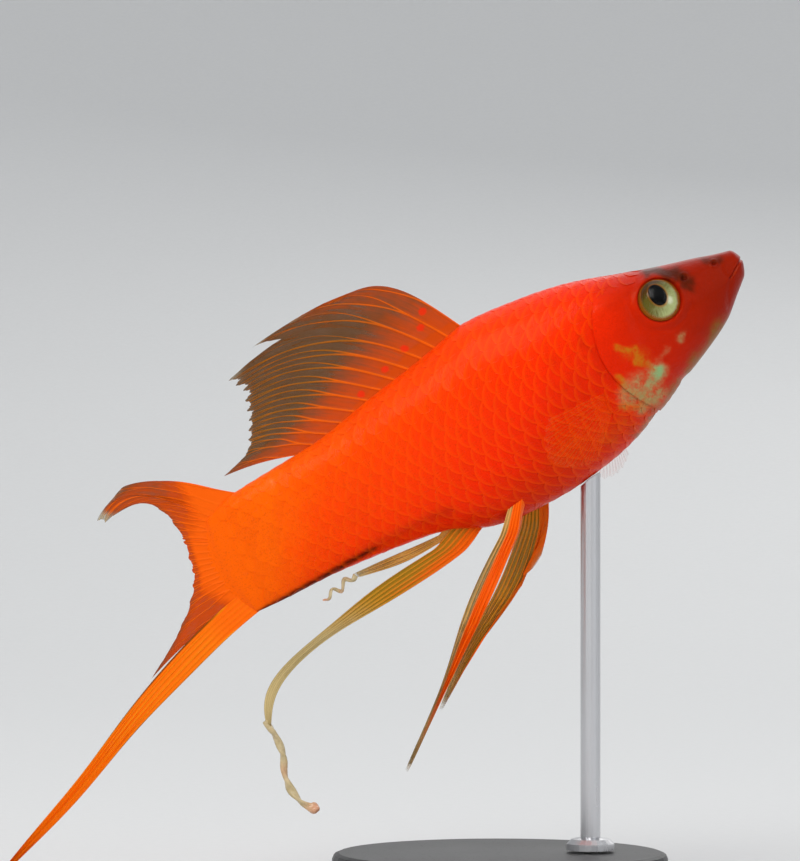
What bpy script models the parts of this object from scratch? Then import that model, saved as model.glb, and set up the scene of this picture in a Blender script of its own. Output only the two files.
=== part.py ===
"""A male red swordtail at life size, swimming nose-up above a plain display stand.

The fish is shaped in its own frame, in millimetres: "along" is the distance behind the
snout, "up" is the height towards the back and "side" is the distance towards its left
flank. An empty at the snout then gives every part the pose. The stand is built upright,
with the middle of the base's underside at the origin.
"""

import math

import bmesh
import bpy
import numpy as np
from mathutils import Vector

MM = 0.001
SEAM = 0.3  # gap between two parts that touch

# The pose: the snout points up and to +X, and the sword hangs down to -X.
PITCH = math.radians(28.8)
SNOUT_X, SNOUT_Z = 30.6, 79.2
SWEEP_START, SWEEP_END, SWEEP = 36.0, 120.0, 4.5  # the tail bends gently to the left

# The body's outline: along, back, belly, half width, height of the widest line.
LANDMARKS = {
    "lips": (0.0, 2.5, -0.5, 1.7, 0.9),
    "mouth corner": (2.5, 3.15, -2.6, 2.5, 0.8),
    "nostrils": (5.0, 3.95, -4.7, 3.4, 0.4),
    "eye front": (9.2, 5.15, -6.9, 4.6, 0.2),
    "eye rear": (14.2, 6.75, -9.0, 5.6, 0.0),
    "nape": (18.8, 8.35, -10.8, 6.2, 0.0),
    "gill edge": (21.5, 9.1, -12.0, 6.4, 0.0),
    "shoulder": (26.5, 10.0, -13.3, 6.6, -0.2),
    "dorsal front": (34.0, 10.7, -14.1, 6.2, -0.6),
    "pelvic fins": (38.5, 9.9, -14.0, 5.7, -0.8),
    "vent": (43.4, 9.0, -13.2, 5.1, -0.8),
    "anal fin": (48.6, 8.2, -10.9, 4.4, -0.8),
    "dorsal rear": (58.5, 6.5, -9.4, 3.2, -1.2),
    "narrowest": (64.0, 6.25, -8.9, 2.5, -1.3),
    "tail root": (70.0, 5.9, -8.75, 1.6, -1.4),
    "tail base": (74.2, 4.7, -8.5, 0.75, -1.6),
}
NOSE_START, NOSE_ROUND = 0.03, 0.8  # the snout is blunt, and rounds off within this distance
CROWN_SQUARE, BACK_SQUARE, BELLY_SQUARE = 2.6, 2.15, 2.1  # 2 is an ellipse
CROWN_END, BACK_START = 14.0, 28.0
AROUND = 44

# The gill cover: its free edge bows backwards, and the head ends there.
GILL_REAR, GILL_MIDDLE, GILL_BOW = 21.6, -2.0, 0.05
GILL_LIFT, GILL_PLATE, GILL_TOP = 0.35, 6.0, 6.5
CHEEK_GROOVE, CHEEK_WIDTH = 0.18, 0.9
TORSO_END, TAIL_BASE = 60.0, 74.2
HEAD_RINGS, TORSO_RINGS, STALK_RINGS = 32, 22, 9

# The head's features
MOUTH_TIP, MOUTH_CORNER = (0.0, 1.1), (2.4, -0.4)
MOUTH_GAP, MOUTH_REACH = 0.4, 10.0  # the slit's height at the front, and past both cheeks
LIP_LIFT, LIP_WIDTH = 0.22, 0.55
EYE_CENTRE, EYE_RADIUS, EYE_DEPTH, EYE_SUNK = (11.6, 1.5), 2.72, 1.55, 0.75
ORBIT_LIFT, ORBIT_WIDTH = 0.22, 0.6
NOSTRILS = {"front": (3.4, 2.2, 0.34), "rear": (7.6, 2.4, 0.42)}  # along, up, radius

# Fins: half thicknesses
RAY_HALF, WEB_HALF, TIP_HALF = 0.42, 0.25, 0.2
FLESH_HALF, TAIL_FLESH_HALF = 0.5, 0.2  # added at a fleshy root
FLESH_REACH = 0.08  # share of a ray's length over which that thins
RAY_BEND = 0.42, 0.42  # how stiffly a ray holds its direction at the root and the tip

# The dorsal fin: roots run along the back, tips follow the free margin (ray, along, up).
DORSAL_FRONT, DORSAL_REAR, DORSAL_RAYS = 34.4, 58.9, 13
DORSAL_MARGIN = (
    (0, 46.6, 20.6),
    (1, 52.6, 21.1),
    (2, 58.8, 20.8),
    (3, 63.4, 18.6),
    (5, 62.4, 16.6),
    (8, 63.6, 13.0),
    (11, 65.4, 9.9),
    (12, 69.6, 8.4),
)
DORSAL_LEAN, DORSAL_TRAIL = (63.0, 20.0), (-12.0, 6.0)  # first and last ray, in degrees
DORSAL_NOTCHES = {0: 0.08, 2: 0.26}  # deep clefts in the web after these rays
DORSAL_WAVE = 0.9

# The tail fin's upper lobe and its short middle: root along, root up, tip along, tip up,
# lean and trail in degrees
UPPER_LOBE = (
    (68.6, None, 77.8, 12.1, 34, 24),
    (71.2, None, 81.4, 13.3, 40, 14),
    (73.3, None, 86.3, 11.2, 52, -34),
    (None, 4.95, 85.5, 10.5, 50, -28),
    (None, 4.2, 82.3, 10.9, 50, 10),
    (None, 3.4, 80.2, 10.3, 52, 34),
    (None, 2.6, 78.8, 8.6, 50, 44),
    (None, 1.7, 78.1, 6.2, 42, 40),
    (None, 0.8, 78.0, 4.0, 30, 32),
)
MIDDLE_WEB = (
    (None, 0.45, 78.1, 3.6, 27, 29),
    (None, -0.7, 78.5, 1.5, 14, 18),
    (None, -1.5, 78.9, -0.1, 6, 10),
    (None, -2.3, 79.7, -1.7, 0, 4),
    (None, -3.1, 81.0, -3.3, -8, -8),
    (None, -3.9, 83.4, -5.2, -12, -18),
    (None, -4.6, 87.6, -7.9, -10, -24),
)

# Fins that trail as ribbons: points along each edge, as along and up
SWORD_UPPER = (
    (TAIL_BASE + SEAM, -5.3),
    (79.2, -6.1),
    (83.5, -7.4),
    (90.2, -9.8),
    (97.7, -12.9),
    (101.2, -15.0),
    (107.5, -17.4),
    (114.0, -19.8),
    (119.7, -22.2),
)
SWORD_LOWER = (
    (TAIL_BASE + SEAM, -8.3),
    (78.3, -9.1),
    (83.0, -10.7),
    (89.0, -12.4),
    (96.4, -14.6),
    (100.0, -16.3),
    (106.4, -18.9),
    (113.2, -20.7),
    (119.5, -22.5),
)
GONOPODIUM_UPPER = (
    (46.9, -12.0),
    (49.2, -12.2),
    (54.7, -12.5),
    (58.9, -12.7),
    (62.8, -13.4),
    (67.0, -14.4),
    (73.2, -15.4),
    (79.5, -17.9),
)
GONOPODIUM_LOWER = (
    (43.6, -13.2),
    (46.6, -14.4),
    (52.6, -14.9),
    (58.4, -15.3),
    (62.4, -15.4),
    (66.6, -15.3),
    (72.8, -16.4),
    (78.8, -18.7),
)
FILAMENT = (
    (79.45, -18.65),
    (80.2, -20.0),
    (79.9, -21.8),
    (79.7, -23.6),
    (80.0, -25.7),
    (80.9, -27.6),
    (81.2, -29.4),
    (81.0, -31.4),
    (80.2, -33.0),
    (79.2, -33.8),
)
FILAMENT_RADIUS, FILAMENT_TIP = 0.46, 0.62
GONOPODIUM_SWING = 1.6
ANAL_UPPER = ((48.2, -11.1), (51.2, -10.95), (55.0, -10.6), (58.5, -10.3), (61.4, -10.1))
ANAL_LOWER = ((47.3, -11.6), (50.2, -11.9), (54.4, -12.0), (57.8, -11.5), (61.2, -10.75))
CURL_START, CURL_END, CURL_TURNS, CURL_RADIUS, CURL_THREAD = (61.8, -10.4), (66.2, -11.2), 2.5, 0.5, 0.3

# The two pelvic fins: the leading edge ends in a long filament.
SIDES = {"left": 1, "right": -1}
PELVIC_STEPS, PELVIC_LOWER = 20, 0.3  # the roots hang this much lower on the round belly
PELVIC = {
    "right": {
        "front": ((37.9, -13.2), (41.0, -15.4), (45.6, -19.2), (49.6, -22.2), (54.6, -25.6), (67.2, -34.8)),
        "rear": ((39.9, -13.0), (43.4, -14.9), (47.6, -17.7), (52.4, -21.4), (56.4, -25.7), (67.4, -34.5)),
        "side": (2.5, 4.3, 5.2, 5.3, 5.0, 4.2),
        "lobe": None,
        "notches": None,
    },
    "left": {
        "front": ((35.9, -13.5), (38.8, -17.2), (42.7, -21.2), (46.8, -23.5), (51.6, -25.4), (60.5, -31.0)),
        "rear": ((38.1, -13.2), (41.6, -16.4), (45.2, -19.6), (49.0, -22.2), (52.9, -24.6), (60.7, -30.7)),
        "side": (2.5, 4.0, 5.0, 5.4, 5.2, 4.6),
        "lobe": (40.0, -19.9),
        "notches": {0: 0.3},
    },
}

# The pectoral fins: a fan of rays from a short root behind the gill cover. drop is how far
# a fin points below the axis and spread how far it stands off the flank, in degrees.
PECTORAL_ROOT, PECTORAL_ROOT_RISE = (23.0, -6.4), 2.0
PECTORAL_RAYS, PECTORAL_LENGTH, PECTORAL_FAN, PECTORAL_BOW = 9, 11.8, 50.0, 0.9
PECTORAL_ROUND = 0.84  # how much shorter its outer rays are than its middle ones
PECTORAL_STANDOFF = 0.75  # of the sheet's middle from the flank, at the root
PECTORAL = {"right": {"drop": 20.0, "spread": 24.0}, "left": {"drop": 62.0, "spread": 30.0}}

# The stand
BASE_RADIUS, BASE_THICK, BASE_ROUND = 21.0, 6.0, 0.8
ROD_X, ROD_RADIUS = 11.3, 1.25
ROD_INSIDE = 58.0  # the rod ends this far up, inside the fish, before its top is cut
COLLAR_RADIUS, COLLAR_HEIGHT = 3.0, 1.6

# Material colours, linear: colour, roughness, metallic
FINISHES = {
    "red_skin": ((0.86, 0.05, 0.004), 0.35, 0.0),
    "orange_skin": ((0.9, 0.13, 0.006), 0.35, 0.0),
    "orange_fin": ((0.75, 0.2, 0.02), 0.4, 0.0),
    "sword": ((0.95, 0.2, 0.005), 0.38, 0.0),
    "clear_fin": ((0.62, 0.38, 0.1), 0.4, 0.0),
    "eye": ((0.62, 0.66, 0.4), 0.08, 0.0),
    "steel": ((0.6, 0.6, 0.62), 0.25, 1.0),
    "base": ((0.03, 0.03, 0.035), 0.45, 0.0),
}


def smooth(xs, ys, x):
    """A curve through the points (xs, ys) that never swings past them, read at x."""
    xs, ys, x = (np.asarray(values, float) for values in (xs, ys, x))
    step = np.diff(xs)
    rise = np.diff(ys) / step
    slope = np.concatenate([rise[:1], np.zeros(len(rise) - 1), rise[-1:]])
    for i in range(1, len(rise)):
        if rise[i - 1] * rise[i] > 0:
            near, far = 2 * step[i] + step[i - 1], step[i] + 2 * step[i - 1]
            slope[i] = (near + far) / (near / rise[i - 1] + far / rise[i])
    i = np.clip(np.searchsorted(xs, x) - 1, 0, len(step) - 1)
    u = np.clip((x - xs[i]) / step[i], 0, 1)
    one = (1 + 2 * u) * (1 - u) ** 2 * ys[i] + u * (1 - u) ** 2 * step[i] * slope[i]
    return one + u * u * (3 - 2 * u) * ys[i + 1] - u * u * (1 - u) * step[i] * slope[i + 1]


def ease(low, high, x):
    """0 at low, 1 at high and smooth between, whichever of them is the larger."""
    u = min(max((x - low) / (high - low), 0.0), 1.0)
    return u * u * (3 - 2 * u)


def body_at(along):
    """(back, belly, half width, height of the widest line) of the body at that distance."""
    columns = np.array(list(LANDMARKS.values())).T
    back, belly, half, middle = (float(smooth(columns[0], c, along)) for c in columns[1:])
    blunt = math.sqrt(1 - (1 - min(max(along, 0.0) / NOSE_ROUND, 1.0)) ** 2)
    return middle + (back - middle) * blunt, middle - (middle - belly) * blunt, half * blunt, middle


def square_at(along, above):
    """How square the section is above or below its widest line; 2 is an ellipse."""
    if not above:
        return BELLY_SQUARE
    return CROWN_SQUARE + (BACK_SQUARE - CROWN_SQUARE) * ease(CROWN_END, BACK_START, along)


def gill_edge(up):
    """How far behind the snout the gill cover's free edge is, at a height."""
    return GILL_REAR - GILL_BOW * (up - GILL_MIDDLE) ** 2


def relief(along, up):
    """How far the head's features stand out from its plain section, on each flank."""
    behind_plate = along - (gill_edge(up) - GILL_PLATE)
    below_nape = 1 - ease(GILL_TOP - 3, GILL_TOP, up)
    plate = GILL_LIFT * ease(0, GILL_PLATE, behind_plate) * below_nape
    if along > gill_edge(up) + SEAM / 2:
        plate = 0.0
    groove = CHEEK_GROOVE * math.exp(-((behind_plate / CHEEK_WIDTH) ** 2)) * below_nape
    rim_distance = math.dist((along, up), EYE_CENTRE) - EYE_RADIUS
    rim = ORBIT_LIFT * math.exp(-((rim_distance / ORBIT_WIDTH) ** 2))
    slope = (MOUTH_CORNER[1] - MOUTH_TIP[1]) / (MOUTH_CORNER[0] - MOUTH_TIP[0])
    off_mouth = up - (MOUTH_TIP[1] + slope * along)
    lips = LIP_LIFT * math.exp(-((off_mouth / LIP_WIDTH) ** 2))
    lips *= 1 - ease(MOUTH_CORNER[0] - 0.5, MOUTH_CORNER[0] + 0.8, along)
    return plate - groove + rim + lips


def flank(along, up):
    """The body's half width at a height."""
    back, belly, half, middle = body_at(along)
    share = (up - middle) / (back - middle) if up > middle else (middle - up) / (middle - belly)
    square = square_at(along, up > middle)
    return half * (1 - min(share, 1.0) ** square) ** (1 / square) + relief(along, up)


def profile(along, side, above):
    """The height of the back, or of the belly, at a distance off the middle plane."""
    back, belly, half, middle = body_at(along)
    square = square_at(along, above)
    share = (1 - min(abs(side) / half, 0.99) ** square) ** (1 / square)
    return middle + ((back - middle) if above else (belly - middle)) * share


def in_frame(along, up, side=0.0):
    """A point of the fish in metres, with x forward of the snout. The tail sweeps aside."""
    reach = max(along - SWEEP_START, 0.0) / (SWEEP_END - SWEEP_START)
    return Vector((-along, side + SWEEP * reach * reach, up)) * MM


def finish_of(name):
    material = bpy.data.materials.get(name)
    if material is None:
        colour, roughness, metallic = FINISHES[name]
        material = bpy.data.materials.new(name)
        material.use_nodes = True
        shader = material.node_tree.nodes["Principled BSDF"]
        shader.inputs["Base Color"].default_value = (*colour, 1.0)
        shader.inputs["Roughness"].default_value = roughness
        shader.inputs["Metallic"].default_value = metallic
    return material


def add_object(name, data, finish=None, parent=None):
    """A named part with its material. Without a finish it is a cutter."""
    made = bpy.data.objects.new(name, data)
    made.parent = parent
    if finish:
        PARTS.objects.link(made)
        data.materials.clear()
        data.materials.append(finish_of(finish))
        if made.type == "MESH":
            data.shade_smooth()
            data.set_sharp_from_angle(angle=math.radians(40))
    else:
        CUTTERS.objects.link(made)
        made.hide_render = True
        made.display_type = "WIRE"
    return made


def cut(part, cutter):
    change = part.modifiers.new(cutter.name, "BOOLEAN")
    change.operation = "DIFFERENCE"
    change.solver = "EXACT"
    change.object = cutter


def mesh_from(name, bm):
    mesh = bpy.data.meshes.new(name)
    bm.to_mesh(mesh)
    bm.free()
    return mesh


def ring(place, grow=0.0):
    """One section of the body. place gives its distance behind the snout at each height,
    so that a section can bow, and grow makes the body that much fatter."""
    points = []
    for k in range(AROUND):
        angle = 2 * math.pi * k / AROUND
        cosine, sine = math.cos(angle), math.sin(angle)
        up = 0.0
        for _ in range(6):
            along = place(up)
            back, belly, half, middle = body_at(along)
            square = square_at(along, cosine > 0)
            reach = (back - middle if cosine > 0 else middle - belly) + grow
            up = middle + math.copysign(reach * abs(cosine) ** (2 / square), cosine)
        side = (half + grow) * abs(sine) ** (2 / square) + relief(along, up) * min(abs(sine) * 3, 1.0)
        points.append(in_frame(along, up, math.copysign(side, sine) if k % (AROUND // 2) else 0.0))
    return points


def loft(name, rings):
    """The rings joined in order. Each end is closed by straight strips from flank to flank,
    so that an end that bows backwards stays smooth."""
    bm = bmesh.new()
    rows = [[bm.verts.new(point) for point in one] for one in rings]
    count = len(rows[0])
    for near, far in zip(rows, rows[1:]):
        for k in range(count):
            bm.faces.new((near[k], near[(k + 1) % count], far[(k + 1) % count], far[k]))
    for row in (rows[0], rows[-1]):
        for k in range(count // 2):
            corners = (row[k], row[k + 1], row[count - k - 1], row[(count - k) % count])
            bm.faces.new(dict.fromkeys(corners))
    bmesh.ops.recalc_face_normals(bm, faces=bm.faces)
    return mesh_from(name, bm)


def body_length(name, front, rear, rings, grow=0.0, crowded=1.0):
    """A length of the body between two section lines. crowded above 1 draws the sections
    towards the front."""

    def section(share):
        return ring(lambda up: front(up) * (1 - share) + rear(up) * share, grow)

    return loft(name, [section((i / (rings - 1)) ** crowded) for i in range(rings)])


def outward(along, up, side):
    """The flank's outward direction in the fish's frame, on the side 1 or -1."""
    step = 0.2
    lean_along = (flank(along + step, up) - flank(along - step, up)) / (2 * step)
    lean_up = (flank(along, up + step) - flank(along, up - step)) / (2 * step)
    return Vector((lean_along, side, -lean_up)).normalized()


def eyeball(name, side, finish, pose, grow=0.0):
    """The eye as a flattened ball, sunk in the head and facing out along its surface."""
    along, up = EYE_CENTRE
    bm = bmesh.new()
    bmesh.ops.create_uvsphere(bm, u_segments=22, v_segments=12, radius=MM)
    bmesh.ops.scale(bm, verts=bm.verts, vec=(EYE_RADIUS + grow, EYE_RADIUS + grow, EYE_DEPTH + grow))
    ball = add_object(name, mesh_from(name, bm), finish, pose)
    facing = outward(along, up, side)
    ball.location = in_frame(along, up, side * flank(along, up)) - facing * EYE_SUNK * MM
    ball.rotation_euler = facing.to_track_quat("Z", "Y").to_euler()
    return ball


def nostril_cutter(name, side, along, up, radius, pose):
    """A small ball half sunk in the snout, which leaves a pit."""
    bm = bmesh.new()
    bmesh.ops.create_icosphere(bm, subdivisions=2, radius=radius * MM)
    pit = add_object(name, mesh_from(name, bm), parent=pose)
    pit.location = in_frame(along, up, side * flank(along, up))
    return pit


def mouth_cutter(pose):
    """A thin wedge, open at the front, that parts the lips as far as the mouth's corners."""
    tip, corner = in_frame(*MOUTH_TIP), in_frame(*MOUTH_CORNER)
    run = corner - tip
    bm = bmesh.new()
    bmesh.ops.create_cube(bm, size=1.0)
    for vert in bm.verts:
        ahead = vert.co.x > 0
        vert.co = Vector((
            run.length * (0.6 if ahead else -1.0),
            vert.co.y * MOUTH_REACH * MM,
            vert.co.z * (MOUTH_GAP if ahead else MOUTH_GAP * 0.4) * MM,
        ))
    wedge = add_object("mouth_cutter", mesh_from("mouth_cutter", bm), parent=pose)
    wedge.location = tip
    wedge.rotation_euler = (0, math.atan2(run.z, -run.x), 0)
    return wedge


def curve_through(points, shares):
    """Points on a smooth curve through the given ones, at shares of its length."""
    points = np.array(points, float)
    lengths = np.concatenate([[0], np.cumsum(np.linalg.norm(np.diff(points, axis=0), axis=1))])
    return np.array([smooth(lengths / lengths[-1], column, shares) for column in points.T]).T


def bent_ray(root, tip, lean, trail, shares):
    """A ray that leaves its root at the angle lean above the axis and ends at trail."""
    root, tip = np.array(root, float), np.array(tip, float)
    length = np.linalg.norm(tip - root)
    start, end = (np.array([math.cos(a), math.sin(a)]) for a in (math.radians(lean), math.radians(trail)))
    first, second = root + start * length * RAY_BEND[0], tip - end * length * RAY_BEND[1]
    u = np.asarray(shares)[:, None]
    return (1 - u) ** 3 * root + 3 * u * (1 - u) ** 2 * first + 3 * u * u * (1 - u) * second + u**3 * tip


def fin(name, rays, finish, pose, notches=None, scallop=0.035, flesh=FLESH_HALF, fine=1.0):
    """A fin of one sheet: each ray is a ridge, and the web between two rays is thinner.

    rays is an array of rays by points by (along, up, side). notches gives how far the web
    after a ray is drawn in at the margin, where it differs from scallop."""
    count, steps, _ = rays.shape
    shares = np.linspace(0, 1, steps)
    root = flesh * np.exp(-shares / FLESH_REACH)
    ray_half = fine * (RAY_HALF + (TIP_HALF - RAY_HALF) * shares**2) + root
    web_half = fine * (WEB_HALF + (TIP_HALF - WEB_HALF) * shares) + root
    lines, halves = [rays[0]], [ray_half]
    for i in range(1, count):
        inset = shares * (1 - (notches or {}).get(i - 1, scallop))
        between = (rays[i - 1] + rays[i]) / 2
        lines += [np.array([np.interp(inset, shares, column) for column in between.T]).T, rays[i]]
        halves += [web_half, ray_half]

    bm = bmesh.new()
    rows = [[bm.verts.new(in_frame(*point)) for point in line] for line in lines]
    for near, far in zip(rows, rows[1:]):
        for r in range(steps - 1):
            bm.faces.new((near[r], far[r], far[r + 1]))
            bm.faces.new((near[r], far[r + 1], near[r + 1]))
    sheet = add_object(name, mesh_from(name, bm), finish, pose)
    thickest = max(max(half) for half in halves)
    group = sheet.vertex_groups.new(name="thickness")
    for vert, half in enumerate(np.concatenate(halves)):
        group.add([vert], float(half / thickest), "REPLACE")
    solid = sheet.modifiers.new("thickness", "SOLIDIFY")
    solid.thickness = 2 * thickest * MM
    solid.offset = 0.0
    solid.vertex_group = group.name
    return sheet


def on_profile(along, side=0.0, above=True):
    """A fin's root point on the back or the belly, a seam off it."""
    return along, profile(along, side, above) + (SEAM if above else -SEAM), side


def dorsal_rays(steps=14):
    """The high fin on the back: its rays rise, bend over and trail backwards."""
    key, along, up = np.array(DORSAL_MARGIN).T
    shares = np.linspace(0, 1, steps)
    rays = []
    for i in range(DORSAL_RAYS):
        share = i / (DORSAL_RAYS - 1)
        root = on_profile(DORSAL_FRONT + (DORSAL_REAR - DORSAL_FRONT) * share)[:2]
        tip = (np.interp(i, key, along), np.interp(i, key, up))
        lean, trail = (a + (b - a) * share for a, b in (DORSAL_LEAN, DORSAL_TRAIL))
        side = DORSAL_WAVE * shares**2 * math.sin(math.pi * share)
        rays.append(np.column_stack([bent_ray(root, tip, lean, trail, shares), side]))
    return np.array(rays)


def tail_rays(rows, steps):
    """Rays of the tail fin from a table of roots and tips."""
    shares = np.linspace(0, 1, steps)
    rays = []
    for root_along, root_up, tip_along, tip_up, lean, trail in rows:
        root = (TAIL_BASE + SEAM, root_up) if root_along is None else on_profile(root_along)[:2]
        rays.append(np.column_stack([bent_ray(root, (tip_along, tip_up), lean, trail, shares), 0 * shares]))
    return np.array(rays)


def ribbon_rays(edge_a, edge_b, count, steps, side=None, spread=0.0):
    """Rays spread evenly between two edges. side gives the distance off the middle plane
    along them, and spread how much further off it the first one is than the last."""
    shares = np.linspace(0, 1, steps)
    first, last = curve_through(edge_a, shares), curve_through(edge_b, shares)
    off = np.zeros(steps) if side is None else side(shares)
    rays = []
    for share in np.linspace(0, 1, count):
        rays.append(np.column_stack([first + (last - first) * share, off + spread * (0.5 - share)]))
    return np.array(rays)


def belly_roots(rays, lower=0.0):
    """Moves the first point of each ray onto the belly, or to that much below it."""
    for ray in rays:
        ray[0] = on_profile(ray[0, 0], ray[0, 2], above=False)
        ray[0, 1] -= lower
    return rays


def gonopodium_side(shares):
    """The long lobe swings a little to the right of the middle plane."""
    return -GONOPODIUM_SWING * shares * (1 - 0.35 * shares)


def thread(name, path, radii, finish, pose):
    """A round thread along a path of (along, up, side) points, with filled ends."""
    curve = bpy.data.curves.new(name, "CURVE")
    curve.dimensions = "3D"
    curve.bevel_depth = MM
    curve.bevel_resolution = 1
    curve.use_fill_caps = True
    spline = curve.splines.new("POLY")
    spline.points.add(len(path) - 1)
    for point, place, radius in zip(spline.points, path, radii):
        point.co = (*in_frame(*place), 1.0)
        point.radius = radius
    made = add_object(name, curve, finish, pose)
    weld = made.modifiers.new("closed caps", "WELD")
    weld.merge_threshold = 1e-6
    return made


def filament(finish, pose, steps=34):
    """The thread that hangs from the gonopodium, kinked near its top and swollen at its tip."""
    shares = np.linspace(0, 1, steps)
    side = gonopodium_side(1.0) + 0.5 * np.sin(shares * math.pi * 1.5)
    radii = FILAMENT_RADIUS * (1 - 0.18 * np.sin(shares * math.pi * 3) ** 2)
    radii[-3:] = FILAMENT_TIP, FILAMENT_TIP, FILAMENT_TIP * 0.6
    path = np.column_stack([curve_through(FILAMENT, shares), side])
    thread("gonopodium_filament", path, radii, finish, pose)


def curl(finish, pose, steps=26):
    """The curled thread off the tip of the anal fin's short lobe."""
    shares = np.linspace(0, 1, steps)
    start, end = np.array(CURL_START), np.array(CURL_END)
    turn = shares * CURL_TURNS * 2 * math.pi
    swell = CURL_RADIUS * np.sin(shares * math.pi) ** 0.5
    line = start + (end - start) * shares[:, None]
    path = np.column_stack([line[:, 0], line[:, 1] - swell * np.sin(turn), swell * (1 - np.cos(turn)) * 0.7])
    thread("anal_fin_curl", path, CURL_THREAD * (1 - 0.3 * shares), finish, pose)


def pelvic_rays(form, side):
    """A pelvic fin: a narrow fan whose leading rays run out into a long filament."""

    def off(shares):
        return side * smooth(np.linspace(0, 1, len(form["side"])), form["side"], shares)

    rays = ribbon_rays(form["front"], form["rear"], 5, PELVIC_STEPS, off, spread=0.5 * side)
    if form["lobe"]:
        rays = np.concatenate([[lobe_ray(rays[0], form["lobe"])], rays])
    return belly_roots(rays, PELVIC_LOWER)


def lobe_ray(leading, tip):
    """A short first ray in front of the leading one."""
    shares = np.linspace(0, 1, len(leading))[:, None]
    root = leading[0] - np.array([0.55, 0.0, 0.0])
    ray = root + (np.array([*tip, leading[4, 2]]) - root) * shares
    ray[:, 0] -= 0.5 * np.sin(shares[:, 0] * math.pi)
    return ray


def pectoral_rays(form, side, steps=9):
    """A pectoral fin: a fan of rays from a short slanting root on the flank."""
    shares = np.linspace(0, 1, steps)
    spread = math.radians(form["spread"])
    rays = []
    for i in range(PECTORAL_RAYS):
        share = i / (PECTORAL_RAYS - 1)
        along = PECTORAL_ROOT[0] + 0.5 * (share - 0.5)
        up = PECTORAL_ROOT[1] + PECTORAL_ROOT_RISE * (0.5 - share)
        root = np.array([along, up, side * (flank(along, up) + PECTORAL_STANDOFF)])
        angle = math.radians(form["drop"] + PECTORAL_FAN * (share - 0.5))
        flat = math.cos(spread)
        heading = np.array([math.cos(angle) * flat, -math.sin(angle) * flat, side * math.sin(spread)])
        length = PECTORAL_LENGTH * (1 - PECTORAL_ROUND * abs(share - 0.42) ** 1.5)
        bow = np.array([0, 0, side]) * PECTORAL_BOW * np.sin(shares * math.pi)[:, None]
        rays.append(root + heading * length * shares[:, None] + bow)
    return np.array(rays)


def flesh(pose):
    """The head with its features, the torso and the tail's stalk."""
    head = body_length("head", lambda up: NOSE_START, gill_edge, HEAD_RINGS, crowded=1.25)
    torso = body_length("torso", lambda up: gill_edge(up) + SEAM, lambda up: TORSO_END, TORSO_RINGS)
    stalk = body_length("tail_stalk", lambda up: TORSO_END + SEAM, lambda up: TAIL_BASE, STALK_RINGS)
    head = add_object("head", head, "red_skin", pose)
    add_object("torso", torso, "red_skin", pose)
    add_object("tail_stalk", stalk, "orange_skin", pose)
    cut(head, mouth_cutter(pose))
    for side_name, side in SIDES.items():
        eyeball("eye_" + side_name, side, "eye", pose)
        cut(head, eyeball("socket_" + side_name, side, None, pose, grow=SEAM))
        for place, (along, up, radius) in NOSTRILS.items():
            cut(head, nostril_cutter(f"nostril_{place}_{side_name}", side, along, up, radius, pose))


def fins(pose):
    fin("dorsal_fin", dorsal_rays(), "orange_fin", pose, DORSAL_NOTCHES)
    fin("caudal_fin_upper", tail_rays(UPPER_LOBE, 12), "orange_fin", pose, flesh=TAIL_FLESH_HALF)
    fin("caudal_fin_lower", tail_rays(MIDDLE_WEB, 9), "orange_fin", pose, flesh=TAIL_FLESH_HALF)
    sword = ribbon_rays(SWORD_UPPER, SWORD_LOWER, 4, 30)
    fin("sword", sword, "sword", pose, scallop=0.004, flesh=TAIL_FLESH_HALF)
    organ = belly_roots(ribbon_rays(GONOPODIUM_UPPER, GONOPODIUM_LOWER, 4, 22, gonopodium_side))
    fin("gonopodium", organ, "clear_fin", pose, scallop=0.004)
    filament("clear_fin", pose)
    anal = belly_roots(ribbon_rays(ANAL_LOWER, ANAL_UPPER, 4, 11))
    fin("anal_fin", anal, "clear_fin", pose, scallop=0.02, flesh=TAIL_FLESH_HALF)
    curl("clear_fin", pose)
    for side_name, side in SIDES.items():
        rays = pelvic_rays(PELVIC[side_name], side)
        fin("pelvic_fin_" + side_name, rays, "orange_fin", pose, notches=PELVIC[side_name]["notches"])
        rays = pectoral_rays(PECTORAL[side_name], side)
        fin("pectoral_fin_" + side_name, rays, "clear_fin", pose, flesh=TAIL_FLESH_HALF, fine=0.85)


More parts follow.
